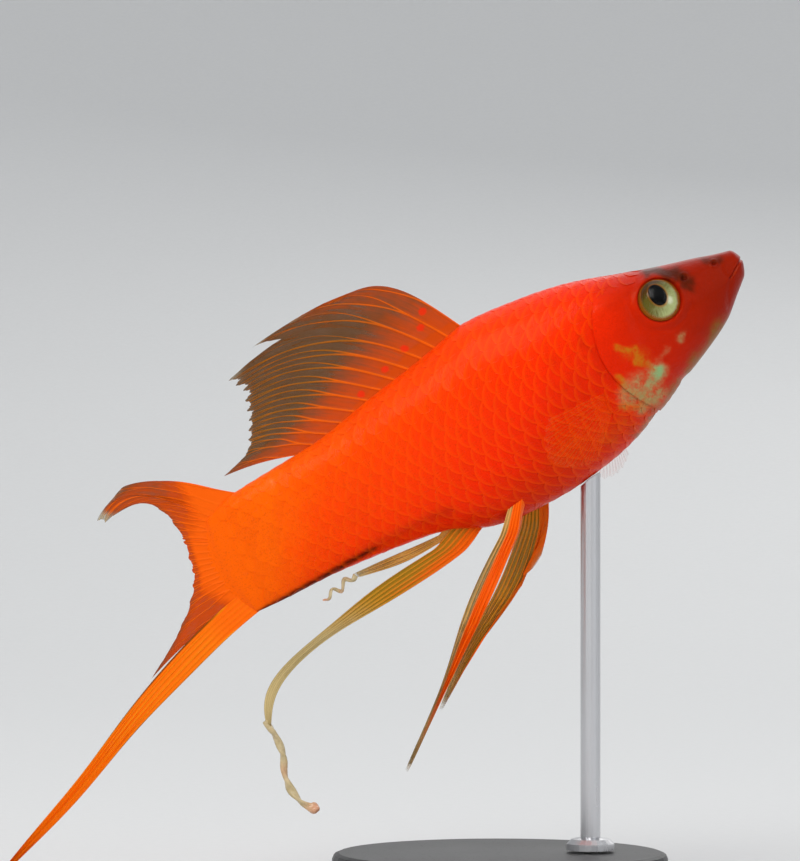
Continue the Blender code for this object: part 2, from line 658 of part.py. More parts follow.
def stand(pose):
    """A round base, and one turned rod whose top is cut to the fish's breast."""
    bm = bmesh.new()
    size = {"radius1": BASE_RADIUS * MM, "radius2": BASE_RADIUS * MM, "depth": BASE_THICK * MM}
    bmesh.ops.create_cone(bm, cap_ends=True, segments=48, **size)
    base = add_object("stand_base", mesh_from("stand_base", bm), "base")
    base.location.z = BASE_THICK * MM / 2
    rounded = base.modifiers.new("rounded edge", "BEVEL")
    rounded.width = BASE_ROUND * MM
    rounded.segments = 2
    rounded.limit_method = "ANGLE"
    rounded.angle_limit = math.radians(60)

    outline = (
        (0.0, ROD_INSIDE),
        (ROD_RADIUS, ROD_INSIDE),
        (ROD_RADIUS, COLLAR_HEIGHT),
        (COLLAR_RADIUS * 0.8, COLLAR_HEIGHT * 0.85),
        (COLLAR_RADIUS, COLLAR_HEIGHT * 0.5),
        (COLLAR_RADIUS, 0.0),
        (0.0, 0.0),
    )
    bm = bmesh.new()
    verts = [bm.verts.new((radius * MM, 0, height * MM)) for radius, height in outline]
    for pair in zip(verts, verts[1:]):
        bm.edges.new(pair)
    rod = add_object("stand_rod", mesh_from("stand_rod", bm), "steel")
    rod.location = (ROD_X * MM, 0, (BASE_THICK + SEAM) * MM)
    turn = rod.modifiers.new("turned", "SCREW")
    turn.steps = 24
    turn.render_steps = 24
    turn.use_merge_vertices = True
    turn.merge_threshold = 1e-6
    breast = body_length("breast", lambda up: 18.0, lambda up: 44.0, 18, grow=SEAM)
    cut(rod, add_object("breast", breast, parent=pose))


for leftover in list(bpy.data.objects):
    bpy.data.objects.remove(leftover)
PARTS = bpy.data.collections.new("swordtail")
CUTTERS = bpy.data.collections.new("swordtail cutters")
for group in (PARTS, CUTTERS):
    bpy.context.scene.collection.children.link(group)
CUTTERS.hide_render = True

snout = bpy.data.objects.new("pose", None)
PARTS.objects.link(snout)
snout.location = (SNOUT_X * MM, 0, SNOUT_Z * MM)
snout.rotation_euler = (0, -PITCH, 0)
flesh(snout)
fins(snout)
stand(snout)
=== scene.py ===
# %% [markdown]
# A red swordtail above its stand
#
# A male swordtail is a small aquarium fish whose lower tail rays grow out into a sword. This
# lesson dresses a plain solid model of one with a fine skin, scales, fins with branching
# rays, wet eyes and a metal stand. The solid model is loaded first and is never moved. Most
# new pieces take the place of one or more of its nodes.

# %% Load the solid model
import math

import bmesh
import bpy
import numpy as np
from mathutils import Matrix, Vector


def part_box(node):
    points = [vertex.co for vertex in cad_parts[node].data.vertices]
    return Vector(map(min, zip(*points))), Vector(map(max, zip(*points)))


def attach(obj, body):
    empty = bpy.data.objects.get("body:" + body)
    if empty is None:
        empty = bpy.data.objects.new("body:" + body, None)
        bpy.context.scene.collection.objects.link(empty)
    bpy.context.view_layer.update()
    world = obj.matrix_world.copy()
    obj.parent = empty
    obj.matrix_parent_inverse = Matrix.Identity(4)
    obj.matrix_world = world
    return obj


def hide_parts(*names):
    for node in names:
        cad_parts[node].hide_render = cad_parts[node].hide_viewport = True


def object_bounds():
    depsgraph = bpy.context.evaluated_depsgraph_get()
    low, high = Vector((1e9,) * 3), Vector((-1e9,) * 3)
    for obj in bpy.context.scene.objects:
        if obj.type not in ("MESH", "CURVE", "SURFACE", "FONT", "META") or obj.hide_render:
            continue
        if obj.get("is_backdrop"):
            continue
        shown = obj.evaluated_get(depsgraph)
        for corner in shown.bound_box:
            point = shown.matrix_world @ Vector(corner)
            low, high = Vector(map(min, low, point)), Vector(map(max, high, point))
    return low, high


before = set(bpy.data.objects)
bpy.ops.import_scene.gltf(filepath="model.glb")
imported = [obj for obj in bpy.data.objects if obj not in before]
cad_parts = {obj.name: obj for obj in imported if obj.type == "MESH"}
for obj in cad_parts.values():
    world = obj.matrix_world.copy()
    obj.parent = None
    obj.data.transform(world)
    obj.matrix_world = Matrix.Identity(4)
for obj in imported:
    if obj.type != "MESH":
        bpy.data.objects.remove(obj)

SOLID_BOX = [list(corner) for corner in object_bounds()]
print("nodes:", ", ".join(sorted(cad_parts)))
print("solid model in millimetres:", [[round(1000 * value, 1) for value in corner] for corner in SOLID_BOX])

# %% [markdown]
# The camera comes first, so that every piece can be looked at as it is made. The fish is seen
# square from its right side. A long lens from well back keeps near and far fins at one size.
# The view is a little wider than the fish is long, and the end of its sword runs out of it.

# %% Camera
MM = 0.001
IMAGE = 800, 861  # pixels
VIEW_HEIGHT, VIEW_CENTRE = 107.6, (-12.5, 58.7)  # millimetres: height seen, and x and z in its middle
CAMERA_BACK = 600.0

camera_data = bpy.data.cameras.new("camera")
camera_data.sensor_width = 36.0
camera_data.lens = camera_data.sensor_width * CAMERA_BACK / VIEW_HEIGHT
camera = bpy.data.objects.new("camera", camera_data)
camera.location = VIEW_CENTRE[0] * MM, -CAMERA_BACK * MM, VIEW_CENTRE[1] * MM
camera.rotation_euler = math.pi / 2, 0, 0
bpy.context.scene.collection.objects.link(camera)
bpy.context.scene.camera = camera
print("lens", round(camera_data.lens, 1), "mm, view", round(VIEW_HEIGHT * IMAGE[0] / IMAGE[1], 1), "mm wide")

# %% [markdown]
# A studio sweep has no edge between floor and wall, so nothing distracts from the fish. Here
# it is a shallow bowl: one profile turned round the vertical axis by a Screw modifier, so that
# it looks the same from every side. The lights are large soft panels, as for wet, shiny
# things: a small lamp would leave hard white dots on the scales.

# %% Sweep and lights
FLOOR_RADIUS, SWEEP_RADIUS = 0.45, 1.6
SWEEP_STEPS = 20

profile = [(0.0, 0.0), (FLOOR_RADIUS, 0.0)]
for step in range(1, SWEEP_STEPS + 1):
    turn = math.pi / 2 * step / SWEEP_STEPS
    profile.append((FLOOR_RADIUS + SWEEP_RADIUS * math.sin(turn), SWEEP_RADIUS * (1 - math.cos(turn))))
sweep_mesh = bpy.data.meshes.new("sweep")
sweep_mesh.from_pydata([(x, 0, z) for x, z in profile], [(i, i + 1) for i in range(len(profile) - 1)], [])
sweep = bpy.data.objects.new("sweep", sweep_mesh)
bpy.context.scene.collection.objects.link(sweep)
turned = sweep.modifiers.new("turned", "SCREW")
turned.steps = 96
turned.render_steps = 96
turned.use_smooth_shade = True
sweep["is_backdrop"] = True

LIGHTS = {
    # name: place, size, watts, colour
    "key": ((-0.35, -0.75, 0.75), 0.6, 5.6, (1.0, 0.98, 0.95)),
    "fill": ((0.65, -0.6, 0.5), 0.7, 1.5, (0.95, 0.98, 1.0)),
    "top": ((0.0, 0.1, 0.85), 0.7, 0.9, (1.0, 1.0, 1.0)),
    "back": ((0.25, 0.75, 0.6), 0.7, 1.6, (1.0, 0.99, 0.97)),
}
AIM = Vector((-0.005, 0, 0.06))


def add_light(name, place, size, watts, colour):
    """A square panel of light that faces the fish."""
    data = bpy.data.lights.new(name, "AREA")
    data.shape = "SQUARE"
    data.size = size
    data.energy = watts
    data.color = colour
    light = bpy.data.objects.new(name, data)
    light.location = place
    light.rotation_euler = (AIM - Vector(place)).to_track_quat("-Z", "Y").to_euler()
    bpy.context.scene.collection.objects.link(light)


for light_name, settings in LIGHTS.items():
    add_light(light_name, *settings)
world = bpy.data.worlds.new("studio")
world.use_nodes = True
world.node_tree.nodes["Background"].inputs["Color"].default_value = (0.96, 0.98, 1.0, 1.0)
world.node_tree.nodes["Background"].inputs["Strength"].default_value = 0.55
bpy.context.scene.world = world
bpy.context.scene.view_settings.view_transform = "Standard"
print(len(LIGHTS), "soft panels")

# %% [markdown]
# The fish is measured in its own frame, in millimetres: along is the distance behind the
# snout, up is the height towards the back, and side is the distance towards its left flank.
# The snout points up in the water, and the tail bends a little to the left. One function puts
# a place on the fish into the scene, so no piece needs a transform of its own.

# %% The fish's own frame
PITCH = math.radians(28.8)
SNOUT_X, SNOUT_Z = 30.6, 79.2
SWEEP_START, SWEEP_END, SWEEP_ASIDE = 36.0, 120.0, 4.5


def to_scene(place):
    """Points (..., 3) of the fish, in metres in the scene."""
    along, up, side = np.moveaxis(np.asarray(place, float), -1, 0)
    reach = np.clip(along - SWEEP_START, 0, None) / (SWEEP_END - SWEEP_START)
    x = SNOUT_X - along * math.cos(PITCH) - up * math.sin(PITCH)
    z = SNOUT_Z - along * math.sin(PITCH) + up * math.cos(PITCH)
    return np.stack([x, side + SWEEP_ASIDE * reach**2, z], axis=-1) * MM


def to_fish(point):
    """The place on the fish of a point in the scene."""
    x, y, z = np.asarray(point, float) / MM
    along = (SNOUT_X - x) * math.cos(PITCH) + (SNOUT_Z - z) * math.sin(PITCH)
    up = (SNOUT_X - x) * math.sin(PITCH) - (SNOUT_Z - z) * math.cos(PITCH)
    reach = max(along - SWEEP_START, 0) / (SWEEP_END - SWEEP_START)
    return np.array([along, up, y - SWEEP_ASIDE * reach**2])


eye_low, eye_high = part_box("eye_right")
print("right eye at", to_fish((np.array(eye_low) + np.array(eye_high)) / 2).round(2))

# %% [markdown]
# A fish's body is a row of oval sections. Each landmark says how high the back is, how low
# the belly is, how wide the body is and at what height it is widest. Between the landmarks a
# smooth curve that never swings past its points gives every other section.

# %% Sections of the body
LANDMARKS = {
    "lips": (0.0, 2.5, -0.5, 1.7, 0.9),
    "mouth corner": (2.5, 3.15, -2.6, 2.5, 0.8),
    "nostrils": (5.0, 3.95, -4.7, 3.4, 0.4),
    "eye front": (9.2, 5.15, -6.9, 4.6, 0.2),
    "eye rear": (14.2, 6.75, -9.0, 5.6, 0.0),
    "nape": (18.8, 8.35, -10.8, 6.2, 0.0),
    "gill edge": (21.5, 9.1, -12.0, 6.4, 0.0),
    "shoulder": (26.5, 10.0, -13.3, 6.6, -0.2),
    "dorsal front": (34.0, 10.7, -14.1, 6.2, -0.6),
    "pelvic fins": (38.5, 9.9, -14.0, 5.7, -0.8),
    "vent": (43.4, 9.0, -13.2, 5.1, -0.8),
    "anal fin": (48.6, 8.2, -10.9, 4.4, -0.8),
    "dorsal rear": (58.5, 6.5, -9.4, 3.2, -1.2),
    "narrowest": (64.0, 6.25, -8.9, 2.5, -1.3),
    "tail root": (70.0, 5.9, -8.75, 1.6, -1.4),
    "tail base": (74.2, 4.7, -8.5, 0.75, -1.6),
}
NOSE_ROUND = 0.8
CROWN_SQUARE, BACK_SQUARE, BELLY_SQUARE = 2.6, 2.15, 2.1
CROWN_END, BACK_START = 14.0, 28.0


def smooth(xs, ys, x):
    """A curve through the points (xs, ys) that never swings past them, read at x."""
    xs, ys, x = (np.asarray(values, float) for values in (xs, ys, x))
    step = np.diff(xs)
    rise = np.diff(ys) / step
    slope = np.concatenate([rise[:1], np.zeros(len(rise) - 1), rise[-1:]])
    for i in range(1, len(rise)):
        if rise[i - 1] * rise[i] > 0:
            near, far = 2 * step[i] + step[i - 1], step[i] + 2 * step[i - 1]
            slope[i] = (near + far) / (near / rise[i - 1] + far / rise[i])
    i = np.clip(np.searchsorted(xs, x) - 1, 0, len(step) - 1)
    u = np.clip((x - xs[i]) / step[i], 0, 1)
    one = (1 + 2 * u) * (1 - u) ** 2 * ys[i] + u * (1 - u) ** 2 * step[i] * slope[i]
    return one + u * u * (3 - 2 * u) * ys[i + 1] - u * u * (1 - u) * step[i] * slope[i + 1]


def ease(low, high, x):
    """0 at low, 1 at high and smooth between, whichever of them is the larger."""
    u = np.clip((np.asarray(x, float) - low) / (high - low), 0, 1)
    return u * u * (3 - 2 * u)


def body_at(along):
    """(back, belly, half width, height of the widest line) of the body at that distance."""
    columns = np.array(list(LANDMARKS.values())).T
    back, belly, half, middle = (smooth(columns[0], column, along) for column in columns[1:])
    blunt = np.sqrt(1 - (1 - np.clip(along, 0, NOSE_ROUND) / NOSE_ROUND) ** 2)
    return middle + (back - middle) * blunt, middle - (middle - belly) * blunt, half * blunt, middle


def back_square(along):
    """How square the section is above its widest line; 2 is an ellipse."""
    return CROWN_SQUARE + (BACK_SQUARE - CROWN_SQUARE) * ease(CROWN_END, BACK_START, along)


print("deepest section:", max(column[1] - column[2] for column in LANDMARKS.values()), "mm")

# %% [markdown]
# The sections aren't flat. The gill cover's free edge bows backwards, and so does the end of
# the flesh on the tail fin. A station is a number: 0 at the snout, 1 along the gill edge, 2 at
# the tail's base and 3 at the end of the flesh. Between two of them the sections change their
# bow little by little, so the mesh has a row of points exactly on the gill edge.
#
# Down each flank the points are spaced evenly, by arc length, from the back to the belly.

# %% Stations
GILL_REAR, GILL_MIDDLE, GILL_BOW = 21.6, -2.0, 0.05
TAIL_BASE, TAIL_FLESH = 74.2, 2.4
TAIL_MIDDLE, TAIL_HALF = -1.9, 6.6
FINE, BOW_ROUNDS = 721, 14  # points of a flank before they are evened out, and rounds to bow it
TAPER_START, TAPER_MOST = 1.93, 0.95  # a station, and the share of its width that the flesh loses


def gill_edge(up):
    """How far behind the snout the gill cover's free edge is, at a height."""
    return GILL_REAR - GILL_BOW * (up - GILL_MIDDLE) ** 2


def station_of(nominal):
    """The station at a distance behind the snout, measured half way up the flank."""
    return np.interp(nominal, [0, GILL_REAR, TAIL_BASE, TAIL_BASE + TAIL_FLESH], [0, 1, 2, 3])


def tail_bow(up):
    """How far the flesh reaches over the tail fin at a height, from 0 to 1."""
    return np.clip(1 - ((up - TAIL_MIDDLE) / TAIL_HALF) ** 2, 0, 1)


def along_at(station, up):
    """How far behind the snout a station is, at a height."""
    head = station * gill_edge(up)
    body = gill_edge(up) * (2 - station) + TAIL_BASE * (station - 1)
    tail = TAIL_BASE + TAIL_FLESH * tail_bow(up) * (station - 2)
    return np.where(station <= 1, head, np.where(station <= 2, body, tail))


def distances(lines):
    """How far along its line each point is, for lines (..., points, 3)."""
    steps = np.linalg.norm(np.diff(lines, axis=-2), axis=-1)
    return np.concatenate([np.zeros((*steps.shape[:-1], 1)), steps.cumsum(-1)], axis=-1)


def unit(vectors):
    """The vectors, each made one long."""
    return vectors / np.maximum(np.linalg.norm(vectors, axis=-1, keepdims=True), 1e-9)


def flank_rows(stations, count):
    """Points (stations, count + 1, 3) down the left flank, and each row's arc length."""
    angle = np.linspace(0, math.pi, FINE)
    cosine, sine = np.cos(angle), np.clip(np.sin(angle), 0, 1)
    station = np.asarray(stations, float)[:, None]
    up = np.zeros((len(stations), FINE))
    for _ in range(BOW_ROUNDS):
        along = along_at(station, up)
        back, belly, half, middle = body_at(along)
        square = np.where(cosine > 0, back_square(along), BELLY_SQUARE)
        reach = np.where(cosine > 0, back - middle, middle - belly)
        up = middle + np.sign(cosine) * reach * np.abs(cosine) ** (2 / square)
    taper = 1 - TAPER_MOST * ease(TAPER_START, 3, station)
    fine = np.stack([along, up, half * taper * sine ** (2 / square)], axis=-1)
    arc = distances(fine)
    shares = np.linspace(0, 1, count + 1)
    rows = [[np.interp(shares * a[-1], a, column) for column in row.T] for a, row in zip(arc, fine)]
    return np.swapaxes(np.array(rows), 1, 2), arc[:, -1]


def both_flanks(rows):
    """The rows carried on up the right flank, so that each is a closed ring."""
    right = rows[:, -2:0:-1] * (1, 1, -1)
    return np.concatenate([rows, right], axis=1)


def ring_normals(rings):
    """Outward directions of a grid of closed rings."""
    around = np.roll(rings, -1, axis=1) - np.roll(rings, 1, axis=1)
    lengthwise = np.gradient(rings, axis=0)
    return unit(np.cross(around, lengthwise))


print("the gill edge is station 1 and the tail's base station 2:", station_of([GILL_REAR, TAIL_BASE]))

# %% [markdown]
# The head gets the most care. Its features are heights above the plain section, written as
# formulas of along and up. The gill cover swells to a free edge, with a groove along the
# cheek. The lips part at a slit, each flank has two nostrils, the throat has the folds of the
# gill skin, and a low rim runs round the eye. A feature that follows a path is a bump whose
# height falls off with the distance from it.

# %% Relief of the head
GILL_LIFT, GILL_PLATE, GILL_TOP, GILL_FADE = 0.35, 6.0, 6.5, 3.0
GILL_BOTTOM = -12.4, -9.4  # between them the cover's swelling fades out
CHEEK_GROOVE, CHEEK_WIDTH = 0.18, 0.9
MOUTH = (-1.0, 1.72), (0.0, 1.1), (2.4, -0.4)
LIP_LIFT, LIP_WIDTH, SLIT_DEPTH, SLIT_WIDTH = 0.1, 0.6, 0.22, 0.13
ORBIT_LIFT, ORBIT_WIDTH, EYE_RADIUS = 0.2, 0.55, 2.72
NOSTRILS = (3.4, 2.2, 0.34), (7.6, 2.4, 0.42)  # along, up, radius
NOSTRIL_LIFT, NOSTRIL_DEPTH = 0.1, 0.4
CREASES = (
    # path, half width, depth
    (((2.5, -0.45), (2.9, 0.2), (2.95, 0.9), (2.7, 1.7), (2.2, 2.3)), 0.3, 0.07),  # behind the lip
    (((2.4, -0.5), (3.2, -1.4), (3.9, -2.4), (4.4, -3.6)), 0.35, 0.07),  # the jaw's joint
    (((8.3, -0.9), (9.8, -2.1), (12.0, -2.6), (14.4, -1.4)), 0.3, 0.07),  # under the eye
    (((16.6, -7.5), (18.4, -6.4), (19.9, -5.0)), 0.22, 0.07),  # the gill cover's lower plate
)
THROAT_FOLDS, THROAT_TOP, THROAT_FADE, THROAT_DEPTH = 1.3, -7.4, 1.5, 0.015
THROAT_FRONT, THROAT_REAR = (8.0, 11.0), (22.0, 20.0)


def distance_to(path, along, up):
    """The distance from each place to the nearest stretch of a path of (along, up) points."""
    nearest = np.full(np.shape(along), np.inf)
    for (a0, u0), (a1, u1) in zip(path, path[1:]):
        length = (a1 - a0) ** 2 + (u1 - u0) ** 2
        share = np.clip(((along - a0) * (a1 - a0) + (up - u0) * (u1 - u0)) / length, 0, 1)
        nearest = np.minimum(nearest, np.hypot(along - a0 - share * (a1 - a0), up - u0 - share * (u1 - u0)))
    return nearest


def bell(distance, width):
    """1 on a line and fading to nothing away from it."""
    return np.exp(-((distance / width) ** 2))


def below_nape(up):
    """1 on the cheek, and 0 above the top of the gill cover."""
    return 1 - ease(GILL_TOP - GILL_FADE, GILL_TOP, up)


def cover_height(along, up):
    """The gill cover's swelling, which is highest at its free edge."""
    swelling = GILL_LIFT * ease(0, GILL_PLATE, along - (gill_edge(up) - GILL_PLATE))
    return swelling * below_nape(up) * ease(*GILL_BOTTOM, up)


def head_relief(along, up, eye):
    """The head's other features. eye is the eye's centre as (along, up)."""
    height = -CHEEK_GROOVE * bell(along - (gill_edge(up) - GILL_PLATE), CHEEK_WIDTH) * below_nape(up)
    height += ORBIT_LIFT * bell(np.hypot(along - eye[0], up - eye[1]) - EYE_RADIUS - 0.25, ORBIT_WIDTH)
    mouth = distance_to(MOUTH, along, up)
    height += LIP_LIFT * bell(mouth, LIP_WIDTH) - SLIT_DEPTH * bell(mouth, SLIT_WIDTH)
    for nostril_along, nostril_up, radius in NOSTRILS:
        off = np.hypot(along - nostril_along, up - nostril_up)
        height += NOSTRIL_LIFT * bell(off - radius * 1.25, radius * 0.5)
        height -= NOSTRIL_DEPTH * bell(off, radius * 0.75)
    for path, width, depth in CREASES:
        height -= depth * bell(distance_to(path, along, up), width)
    fold = np.sin(2 * math.pi * (along - gill_edge(up)) / THROAT_FOLDS)
    throat = ease(THROAT_TOP, THROAT_TOP - THROAT_FADE, up)
    throat *= ease(*THROAT_FRONT, along) * ease(*THROAT_REAR, along)
    return height + THROAT_DEPTH * fold * throat


print("gill cover's edge, from back to belly:", [round(gill_edge(up), 1) for up in (6, 0, -6, -11)])

# %% [markdown]
# Shader maths reads best as plain expressions. This class wraps one socket of a material. Its
# operators add Math nodes, so that 1 - mask works as it would on numbers. Every other node
# comes from its one method, node, which sets a node's settings first and its sockets next.

# %% Expressions on sockets
class Shade:
    """A socket in a material's node tree, or the empty tree where a finish starts."""

    def __init__(self, tree, socket=None):
        self.tree = tree
        self.socket = socket

    def node(self, kind, settings=None, sockets=None, output=0):
        """Adds a node and returns one of its outputs."""
        made = self.tree.nodes.new("ShaderNode" + kind)
        for name, value in (settings or {}).items():
            if name == "stops":
                while len(made.color_ramp.elements) < len(value):
                    made.color_ramp.elements.new(1.0)
                for element, (position, colour) in zip(made.color_ramp.elements, value):
                    element.position = position
                    element.color = (*colour, 1.0)
            else:
                setattr(made, name, value)
        for key, value in (sockets or {}).items():
            if isinstance(value, Shade):
                self.tree.links.new(value.socket, made.inputs[key])
            else:
                made.inputs[key].default_value = value
        return Shade(self.tree, None if output is None else made.outputs[output])

    def math(self, operation, first, second=0.0):
        return self.node("Math", {"operation": operation}, {0: first, 1: second})

    def __add__(self, other):
        return self.math("ADD", self, other)

    def __sub__(self, other):
        return self.math("SUBTRACT", self, other)

    def __rsub__(self, other):
        return self.math("SUBTRACT", other, self)

    def __mul__(self, other):
        return self.math("MULTIPLY", self, other)

    def __truediv__(self, other):
        return self.math("DIVIDE", self, other)

    def __pow__(self, other):
        return self.math("POWER", self, other)

    def __abs__(self):
        return self.math("ABSOLUTE", self)

    __radd__ = __add__
    __rmul__ = __mul__


print("shader maths ready")

# %% [markdown]
# A few nodes come back in nearly every finish: numbers kept by the mesh, a smooth step, one
# colour over another, noise, and the shader itself. Each gets a short name here.

# %% Nodes with short names
def new_finish(name):
    """An empty material, and the place where its first node is added."""
    material = bpy.data.materials.new(name)
    material.use_nodes = True
    material.node_tree.nodes.clear()
    return material, Shade(material.node_tree)


def number(m, name):
    """A number that the mesh keeps at each point."""
    return m.node("Attribute", {"attribute_name": name}, output=2)


def vector(m, name):
    """Three numbers that the mesh keeps at each point."""
    return m.node("Attribute", {"attribute_name": name}, output=1)


def parts_of(m, value):
    """The three numbers of a vector."""
    split = m.node("SeparateXYZ", {}, {0: value})
    return [Shade(m.tree, output) for output in split.socket.node.outputs]


def between(m, value, low, high, start=0.0, end=1.0):
    """start below low, end above high and a smooth change from one to the other."""
    sockets = {0: value, 1: low, 2: high, 3: start, 4: end}
    return m.node("MapRange", {"interpolation_type": "SMOOTHSTEP"}, sockets)


def tint(m, mask, under, over):
    """The colour under, with the colour over laid on it where the mask is 1."""
    under, over = (value if isinstance(value, Shade) else (*value, 1.0) for value in (under, over))
    return m.node("Mix", {"data_type": "RGBA"}, {0: mask, 6: under, 7: over}, 2)


def noise(m, place, scale, detail=2.0, roughness=0.5):
    """Soft cloudy noise from 0 to 1, with scale features to a unit of place."""
    return m.node("TexNoise", {}, {"Vector": place, "Scale": scale, "Detail": detail, "Roughness": roughness})


def combined(m, x, y, z):
    """A vector from three numbers."""
    return m.node("CombineXYZ", {}, {0: x, 1: y, 2: z})


def surface(m, shader):
    """Ends the material with a shader."""
    m.node("OutputMaterial", {}, {"Surface": shader}, output=None)


def relief_surface(m, height, sockets):
    """Ends the material with the shader for solid things, raised by a height in millimetres."""
    bump = m.node("Bump", {}, {"Height": height, "Distance": MM})
    surface(m, m.node("BsdfPrincipled", {}, {**sockets, "Normal": bump}))


print("finishes can be made")

# %% [markdown]
# Every soft piece is a mesh built from arrays of places. Its faces come from a grid of points,
# and it keeps numbers at its points, such as where they are on the fish, for its finish to
# read. So skin and scales wear the same markings, with no picture laid over them. Each mesh
# also has a flat map, named OFBake, on which no two faces share a place.

# %% Meshes from grids
BAKE_MAP = "OFBake"
SHARP_ANGLE = math.radians(50)


def grid_cells(rows, columns):
    """The row and column of each square's four corners, as (squares, 4, 2)."""
    row, column = np.meshgrid(np.arange(rows - 1), np.arange(columns - 1), indexing="ij")
    corners = ((row, column), (row, column + 1), (row + 1, column + 1), (row + 1, column))
    return np.stack([np.stack([r.ravel(), c.ravel()], axis=1) for r, c in corners], axis=1)


def add_piece(name, places, faces, flat, finish, nodes=(), numbers=None):
    """A piece through places on the fish. faces is a list of arrays of corners, flat the
    matching places on its map, nodes what it replaces and numbers what its points keep."""
    mesh = bpy.data.meshes.new(name)
    mesh.from_pydata(to_scene(places).tolist(), [], [face for group in faces for face in group.tolist()])
    bake = mesh.uv_layers.new(name=BAKE_MAP)
    bake.uv.foreach_set("vector", np.concatenate([part.ravel() for part in flat]).astype(np.float32))
    for key, values in {"place": places, **(numbers or {})}.items():
        values = np.asarray(values, np.float32)
        single = values.ndim == 1
        kept = mesh.attributes.new(key, "FLOAT" if single else "FLOAT_VECTOR", "POINT")
        kept.data.foreach_set("value" if single else "vector", values.ravel())
    mesh.shade_smooth()
    mesh.set_sharp_from_angle(angle=SHARP_ANGLE)
    mesh.materials.append(finish)
    piece = bpy.data.objects.new(name, mesh)
    bpy.context.scene.collection.objects.link(piece)
    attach(piece, "root")
    if nodes:
        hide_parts(*nodes)
    measured = bmesh.new()
    measured.from_mesh(mesh)
    volume = measured.calc_volume(signed=True) / MM**3
    measured.free()
    print(f"{name}: {sum(len(face.vertices) - 2 for face in mesh.polygons)} triangles, {volume:.2f} cubic mm")
    return piece


# %% [markdown]
# The colour is painted on by place. A strong red runs over the whole fish, warmer towards the
# tail and darker on the snout, and a few marks lie over it: dark smudges before the eye and
# painted shade in the nostrils, a painted shadow behind the gill cover's edge, silver and gold
# on the cheek with a painted turquoise sheen, gold along the throat and a line of painted shade
# under the tail's stalk. A mark is a short soft path, and each point of the mesh keeps how much
# of every mark it has.

# %% Markings
MARKS = {
    # name: (path of along and up, half width, strength), ...
    "soot": (
        # dark smudges before the eye and round the nostrils; in the nostrils they are painted shade
        (((11.4, 5.4), (9.8, 4.4), (8.6, 3.6), (7.6, 2.2)), 0.85, 0.95),
        (((8.4, 3.2), (7.1, 1.9), (7.9, 1.3)), 0.95, 0.8),
        (((4.2, 2.9), (2.6, 2.4)), 0.75, 0.65),
        # a painted shadow behind the gill cover's free edge
        (((22.9, 2.4), (22.2, 0.2), (22.4, -3.6)), 0.4, 0.3),
        (((26.6, 1.5), (27.4, 1.1)), 0.9, 0.2),
        # these two are painted shade along the underside of the tail's stalk
        (((47.0, -8.9), (52.5, -8.4), (57.5, -8.3), (62.0, -8.5)), 0.95, 0.36),
        (((57.5, -8.5), (63.0, -8.6), (68.8, -8.65), (73.0, -8.65), (76.0, -9.0)), 0.45, 0.9),
    ),
    "gold": (
        (((19.2, -1.5), (17.5, -2.3), (17.6, -3.7), (16.3, -5.7)), 0.6, 0.75),
        (((18.9, -1.9), (17.2, -3.0), (16.6, -5.0)), 1.1, 0.3),
        (((21.0, -4.4), (20.6, -5.9), (19.1, -8.0)), 0.5, 0.6),
        (((22.4, -8.1), (20.8, -8.4), (19.4, -9.0)), 0.6, 0.65),
        (((22.8, -9.6), (25.5, -10.6)), 1.5, 0.3),
        (((29.0, -9.0), (32.5, -9.8)), 1.7, 0.22),
    ),
    "olive": (
        (((6.0, -5.0), (9.7, -7.2), (12.5, -8.3), (16.0, -10.0), (21.5, -12.2)), 1.1, 0.75),
        (((18.0, -10.6), (22.0, -11.6)), 1.2, 0.4),
    ),
    "silver": (
        (((16.2, -6.3), (17.9, -7.3), (19.6, -7.6)), 1.25, 0.8),
        (((17.0, -8.5), (19.6, -9.2)), 1.1, 0.75),
        (((19.0, -6.0), (21.2, -7.4)), 1.2, 0.7),
        (((11.1, -3.6), (11.8, -3.9)), 0.6, 0.5),
        (((14.0, -4.6), (15.3, -4.9)), 0.6, 0.3),
        (((64.6, 5.2), (64.9, 4.7)), 0.3, 0.5),
    ),
    # a painted turquoise sheen on the silver of the gill cover
    "sea": ((((15.7, -5.9), (16.5, -6.3)), 0.85, 0.8), (((17.5, -6.9), (17.9, -7.4)), 0.5, 0.4)),
}
STRAY = ((0.25, 1.9, 0.7, 0.4), (0.08, 4.3, -2.9, 1.9))  # size, waves along and up, and phase
STRAY_END = 25.0, 30.0


def marks_at(along, up):
    """How much of each mark there is at every place. Its outline strays a little, like a stain."""
    for size, wave_along, wave_up, phase in STRAY:
        here = size * ease(*STRAY_END[::-1], along)
        aside = here * np.sin(wave_along * along + wave_up * up + phase)
        along, up = along + here * np.sin(wave_along * up - wave_up * along), up + aside
    numbers = {}
    for name, strokes in MARKS.items():
        amounts = [strength * bell(distance_to(path, along, up), width) for path, width, strength in strokes]
        numbers[name] = np.max(amounts, axis=0)
    return numbers


print(sum(len(strokes) for strokes in MARKS.values()), "painted marks")

# %% [markdown]
# Under the marks lies one ramp of reds, read from head to tail along a slant, so that the back
# turns warm before the belly does. Large soft noise shifts it, as no fish is one even red.
# Fine flecks break up the marks, as the pigment cells do. The belly is made darker with painted shade.

# %% Colour of the skin
GILL_RED, RED, WARM_RED = (0.72, 0.013, 0.0006), (0.95, 0.02, 0.0006), (1.0, 0.038, 0.0006)
ORANGE_RED, ORANGE = (1.0, 0.062, 0.0006), (1.0, 0.125, 0.001)
# the last colour on the next line is for the dark smudges and for painted shade
SNOUT_RED, BELLY_SHADE_RED, DARK_AND_SHADE = (0.24, 0.006, 0.0008), (0.6, 0.022, 0.001), (0.045, 0.004, 0.001)
SPECK_RED = 0.42, 0.008, 0.0006
